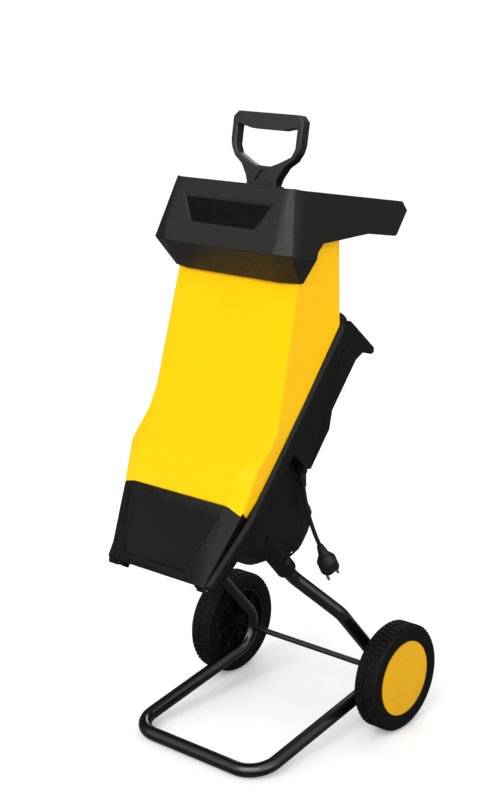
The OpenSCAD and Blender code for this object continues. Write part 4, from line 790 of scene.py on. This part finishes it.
class ShredderStage(bpy.types.Operator):
    """Sets the camera, the pale floor, the soft light and the white surround"""
    bl_idname = "shredder.stage"
    bl_label = "Studio and camera"

    def execute(self, context):
        scene = context.scene
        scene.view_settings.view_transform = "Standard"
        lens = bpy.data.cameras.new("photo_camera")
        lens.lens, lens.sensor_width = CAMERA_LENS, CAMERA_SENSOR
        lens.clip_end = 200
        camera = bpy.data.objects.new("photo_camera", lens)
        scene.collection.objects.link(camera)
        camera.location = CAMERA_PLACE
        camera.rotation_euler = Vector(CAMERA_AIM).to_track_quat("-Z", "Y").to_euler()
        scene.camera = camera
        self.floor()
        self.surround(scene)
        self.lamps(scene)
        return {"FINISHED"}

    def floor(self):
        """Lays the paper that the machine stands on."""
        # Seamless studio paper: plain and pale, a touch lighter to the camera so that it meets the white,
        # and painted a darker grey in reflections only: a painted shade that keeps the machine's sides dark.
        material, tree, shader, place = new_material("studio_paper")
        mottle = add(tree, "ShaderNodeTexNoise", {"Vector": place, "Scale": 1 / 0.9})
        paper = add(tree, "ShaderNodeMix", {
            0: mottle.outputs[0], 6: linear("#F1F1F1"), 7: linear("#F3F3F3")}, data_type="RGBA")
        path = add(tree, "ShaderNodeLightPath")
        # Glossy rays see the paper painted a darker grey: a painted shade in reflections.
        paper_with_painted_shade = add(tree, "ShaderNodeMix", {
            0: path.outputs["Is Glossy Ray"], 6: paper.outputs[2], 7: linear("#6E6E6E")}, data_type="RGBA")
        lift = add(tree, "ShaderNodeMath", {0: path.outputs["Is Camera Ray"], 1: 0.16}, operation="MULTIPLY")
        tree.links.new(paper_with_painted_shade.outputs[2], shader.inputs["Base Color"])
        tree.links.new(lift.outputs[0], shader.inputs["Emission Strength"])
        shader.inputs["Roughness"].default_value = 0.9
        shader.inputs["Specular IOR Level"].default_value = 0.1
        shader.inputs["Emission Color"].default_value = (1, 1, 1, 1)
        mesh = bpy.data.meshes.new("studio_floor")
        half = 60.0
        corners = [(-half, -half, 0), (half, -half, 0), (half, half, 0), (-half, half, 0)]
        mesh.from_pydata(corners, [], [(0, 1, 2, 3)])
        mesh.materials.append(material)
        floor = mesh_object("studio_floor", mesh)
        # A hair under the stand, so that none of its faces lies in the paper.
        floor.location.z = -0.2 * MM

    def surround(self, scene):
        """Puts a white room round the machine."""
        world = bpy.data.worlds.new("studio_white")
        world.use_nodes = True
        scene.world = world
        tree = world.node_tree
        tree.nodes.clear()
        # Reflections see a white wall on the camera's side that dims towards the back of the room.
        aim = add(tree, "ShaderNodeTexCoord").outputs["Generated"]
        front = add(tree, "ShaderNodeVectorMath", {0: aim, 1: WHITE_WALL}, operation="DOT_PRODUCT")
        gloss = add(tree, "ShaderNodeMapRange", {
            "Value": front.outputs["Value"], "From Min": -0.25, "From Max": 0.9,
            "To Min": 0.06, "To Max": 2.2})
        path = add(tree, "ShaderNodeLightPath")
        lit = add(tree, "ShaderNodeMix", {0: path.outputs["Is Glossy Ray"], 2: 0.78, 3: gloss.outputs[0]})
        clear = add(tree, "ShaderNodeMath", {
            0: path.outputs["Is Camera Ray"], 1: path.outputs["Is Transmission Ray"]}, operation="MAXIMUM")
        strength = add(tree, "ShaderNodeMix", {0: clear.outputs[0], 2: lit.outputs[0], 3: 1.0})
        back = add(tree, "ShaderNodeBackground", {"Color": (1, 1, 1, 1), "Strength": strength.outputs[0]})
        add(tree, "ShaderNodeOutputWorld", {"Surface": back.outputs[0]})

    def lamps(self, scene):
        """Hangs the window light and the panels."""
        key = bpy.data.lights.new("window_light", "SUN")
        key.energy, key.angle = 1.2, math.radians(40)
        lamp = bpy.data.objects.new("window_light", key)
        scene.collection.objects.link(lamp)
        lamp.rotation_euler = Vector(WINDOW_AIM).to_track_quat("-Z", "Y").to_euler()
        for name, energy, size, place in PANELS:
            soft = bpy.data.lights.new(name, "AREA")
            soft.energy, soft.size = energy, size
            lamp = bpy.data.objects.new(name, soft)
            scene.collection.objects.link(lamp)
            lamp.location = place
            lamp.rotation_euler = (Vector(PANEL_AIM) - lamp.location).to_track_quat("-Z", "Y").to_euler()


class ShredderLead(bpy.types.Operator):
    """Makes the mains lead, its strain relief and its plug"""
    bl_idname = "shredder.lead"
    bl_label = "Mains lead and plug"

    def execute(self, context):
        s = sizes()
        line = bpy.data.curves.new("power_cord_made", "CURVE")
        line.dimensions = "3D"
        line.resolution_u = 4
        line.bevel_depth = s.cord_width / 2
        line.bevel_resolution = 4
        line.use_fill_caps = True
        run = line.splines.new("BEZIER")
        run.bezier_points.add(len(CORD_LINE) - 1)
        for point, place in zip(run.bezier_points, CORD_LINE):
            point.co = place
            point.handle_left_type = point.handle_right_type = "AUTO"
        cord = bpy.data.objects.new("power_cord_made", line)
        context.scene.collection.objects.link(cord)
        settle(cord, "lead", "chassis", "cord_rubber", "power_cord")
        plug = dress("plug_body", "lead", s.trim_edge, 2, "cord_rubber")
        pins = dress("plug_pins", "nickel", s.metal_edge, 2, "bright_steel")
        dress("cable_gland", "lead", s.trim_edge, 2, "cord_rubber")
        points = [Vector(place) for place in CORD_LINE]
        self.ribs("cable_gland_ribs", points[1], points[0], 1.5 * MM, 2.7 * MM)
        plug_ribs = self.ribs("plug_ribs", points[-2], points[-1], 1.5 * MM, 4.2 * MM)
        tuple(CORD_LINE[0])
        sum((b - a).length for a, b in zip(points, points[1:]))
        return {"FINISHED"}

    def ribs(self, name, before, end, first, last):
        """Rings on the boot past an end of the lead; first and last are heights over the lead's radius."""
        s = sizes()
        out = (end - before).normalized()
        tree, ids = rib_tree()
        # A rib's own radius is a share of its ring's.
        boot = grow(name, bpy.data.meshes.new(name), tree, ids, {
            "From": end + out * 2 * MM, "To": end + out * s.boot_length, "Ribs": s.rib_count,
            "First radius": s.cord_width / 2 + first, "Last radius": s.cord_width / 2 + last, "Rib": 0.16,
            "Material": FINISH["lead"]})
        return settle(boot, "lead", "chassis", "cord_rubber")


class ShredderFront(bpy.types.Operator):
    """Dresses the hood, the yellow cover, the guard and what they carry"""
    bl_idname = "shredder.front"
    bl_label = "Hood, cover and guard"

    def execute(self, context):
        s = sizes()
        dress("feed_hood", "hood", s.front_edge, 4, "hood_plastic", bow_corners)
        dress("hood_panel", "panel", s.trim_edge, 2, "gloss_trim")
        dress("front_cover", "yellow", s.front_edge, 4, "yellow_plastic")
        dress("lower_guard", "guard", s.front_edge, 4, "black_plastic", splay_recess)
        dress("chute_back", "black", s.trim_edge, 2, "black_plastic")
        dress("anvil", "blade", s.metal_edge, 1, "blade_steel")
        dress("anvil_bolts", "zinc", s.metal_edge, 1, "bright_steel")
        dress("lock_insert", "brass", s.metal_edge, 1, "brass")
        for node in ("join_screws", "back_screws", "hood_screws"):
            set_screws(node, "zinc", "bright_steel")
        return {"FINISHED"}


class ShredderPlunger(bpy.types.Operator):
    """Dresses the plunger's handle and paddle"""
    bl_idname = "shredder.plunger"
    bl_label = "Plunger"

    def execute(self, context):
        s = sizes()
        dress("plunger_grip", "black", s.grip_edge, 4, "black_plastic", broad=0.0, weld=0.9 * MM)
        dress("plunger_paddle", "black", s.trim_edge, 2, "black_plastic")
        set_screws("plunger_bolts", "zinc", "bright_steel")
        return {"FINISHED"}


class ShredderShell(bpy.types.Operator):
    """Dresses the rear shell, the motor cap, the switch and the lock knob"""
    bl_idname = "shredder.shell"
    bl_label = "Rear shell and switch"

    def execute(self, context):
        s = sizes()
        dress("rear_shell", "shell", s.trim_edge, 2, "black_plastic")
        dress("motor_cap", "shell", s.trim_edge, 2, "black_plastic")
        dress("switch_plate", "trim", s.trim_edge, 2, "gloss_trim")
        dress("switch_body", "trim", s.trim_edge, 2, "gloss_trim")
        dress("interlock_switch", "trim", s.trim_edge, 2, "gloss_trim")
        dress("rocker", "green", s.trim_edge, 2, "green_plastic")
        dress("reset_button", "red", s.trim_edge, 2, "red_plastic")
        dress("lock_knob", "black", s.trim_edge * 2, 3, "black_plastic")
        dress("lock_screw", "zinc", s.metal_edge, 1, "bright_steel")
        dress("hinge_pins", "zinc", s.metal_edge, 1, "bright_steel")
        set_screws("cap_screws", "zinc", "bright_steel")
        return {"FINISHED"}


class ShredderDrive(bpy.types.Operator):
    """Dresses the motor, the knife disc and the plate that carries them"""
    bl_idname = "shredder.drive"
    bl_label = "Motor and knives"

    def execute(self, context):
        s = sizes()
        for node, finish, slot in (
                ("base_plate", "base", "base_alloy"), ("front_bracket", "cast", "cast_alloy"),
                ("rear_bracket", "cast", "cast_alloy"), ("knife_disc", "disc", "disc_steel"),
                ("knife_blades", "blade", "blade_steel"), ("disc_nut", "zinc", "bright_steel"),
                ("front_bearing", "zinc", "bright_steel"), ("rear_bearing", "zinc", "bright_steel"),
                ("motor_shaft", "zinc", "bright_steel"), ("brush_holders", "trim", "gloss_trim"),
                ("cooling_fan", "nylon", "fan_plastic")):
            dress(node, finish, s.metal_edge, 1, slot)
        for node, finish in (("stator", "sheets"), ("field_coils", "copper"), ("armature", "sheets"),
                             ("commutator", "copper")):
            keep(node, finish)
        for node in ("base_screws", "motor_screws", "blade_screws"):
            set_screws(node, "zinc", "bright_steel")
        return {"FINISHED"}


class ShredderStand(bpy.types.Operator):
    """Dresses the tube stand and the axle"""
    bl_idname = "shredder.stand"
    bl_label = "Stand and axle"

    def execute(self, context):
        s = sizes()
        dress("stand_tube", "paint", 0, 1, "stand_paint", weld=0.001 * MM)
        dress("axle", "paint", s.metal_edge, 1, "stand_paint")
        dress("axle_spacers", "paint", s.metal_edge, 1, "stand_paint")
        dress("axle_washers", "zinc", s.metal_edge, 1, "bright_steel")
        dress("axle_caps", "zinc", s.metal_edge, 1, "bright_steel")
        dress("stand_bolts", "paint", s.metal_edge, 1, "stand_paint")
        return {"FINISHED"}


class ShredderWheels(bpy.types.Operator):
    """Makes both tyres with their lugs and dresses the rims and hubcaps"""
    bl_idname = "shredder.wheels"
    bl_label = "Wheels"

    def execute(self, context):
        s = sizes()
        tree, ids = tyre_tree()
        for side in ("left", "right"):
            low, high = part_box("tyre_" + side)
            rim_low, rim_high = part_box("rim_" + side)
            outer = (high.z - low.z) / 2
            band = outer - s.lug_depth
            inner = (rim_high.z - rim_low.z) / 2
            width = high.x - low.x
            step = 2 * math.pi / s.lug_count
            # A lug is sunk in the band by half its own depth, and covers just over half of its step. The rows
            # take 0.38 of the tyre's width each, and lie 0.21 of it either side of the middle.
            tall = s.lug_depth * 1.5
            tyre = grow("tyre_%s_made" % side, bpy.data.meshes.new("tyre_%s_made" % side), tree, ids, {
                "Ring radius": (band + inner) / 2, "Depth": band - inner, "Width": width, "Shoulder": 5 * MM,
                "Lugs": s.lug_count, "Lug radius": outer - tall / 2, "Lug top": 0.86,
                "Lug size": (tall, outer * step * 0.58, width * 0.38), "Row": (0, 0, width * 0.21),
                "Row turn": (0, 0, step / 2), "Place": (low + high) / 2, "Material": FINISH["rubber"]})
            tyre.data.set_sharp_from_angle(angle=CRISP_TYRE)
            settle(tyre, "rubber", "wheel_" + side, "tyre_rubber", "tyre_" + side)
            dress("rim_" + side, "shell", s.trim_edge, 2, "black_plastic")
            dress("hubcap_" + side, "amber", s.trim_edge, 2, "amber_plastic")
        return {"FINISHED"}


class ShredderPanel(bpy.types.Panel):
    """Lists the shredder's pieces, sizes and colours"""
    bl_idname = "VIEW3D_PT_shredder"
    bl_label = "Garden shredder"
    bl_space_type = "VIEW_3D"
    bl_region_type = "UI"
    bl_category = "Shredder"

    def draw(self, context):
        for group in (context.scene.shredder_sizes, context.scene.shredder_colours):
            box = self.layout.box()
            for key in group.__annotations__:
                box.prop(group, key)
        for step in STEPS:
            self.layout.operator(step.bl_idname)


STEPS = (
    ShredderStage, ShredderLead, ShredderFront, ShredderPlunger, ShredderShell, ShredderDrive, ShredderStand,
    ShredderWheels)
CLASSES = (ShredderSizes, ShredderColours, *STEPS, ShredderPanel)


def register():
    for cls in CLASSES:
        bpy.utils.register_class(cls)
    bpy.types.Scene.shredder_sizes = PointerProperty(type=ShredderSizes)
    bpy.types.Scene.shredder_colours = PointerProperty(type=ShredderColours)


def unregister():
    del bpy.types.Scene.shredder_colours
    del bpy.types.Scene.shredder_sizes
    for cls in reversed(CLASSES):
        bpy.utils.unregister_class(cls)


def main():
    register()
    make_finishes()
    bpy.ops.shredder.stage()
    bpy.ops.shredder.lead()
    bpy.ops.shredder.front()
    bpy.ops.shredder.plunger()
    bpy.ops.shredder.shell()
    bpy.ops.shredder.drive()
    bpy.ops.shredder.stand()
    bpy.ops.shredder.wheels()


if __name__ == "__main__":
    main()
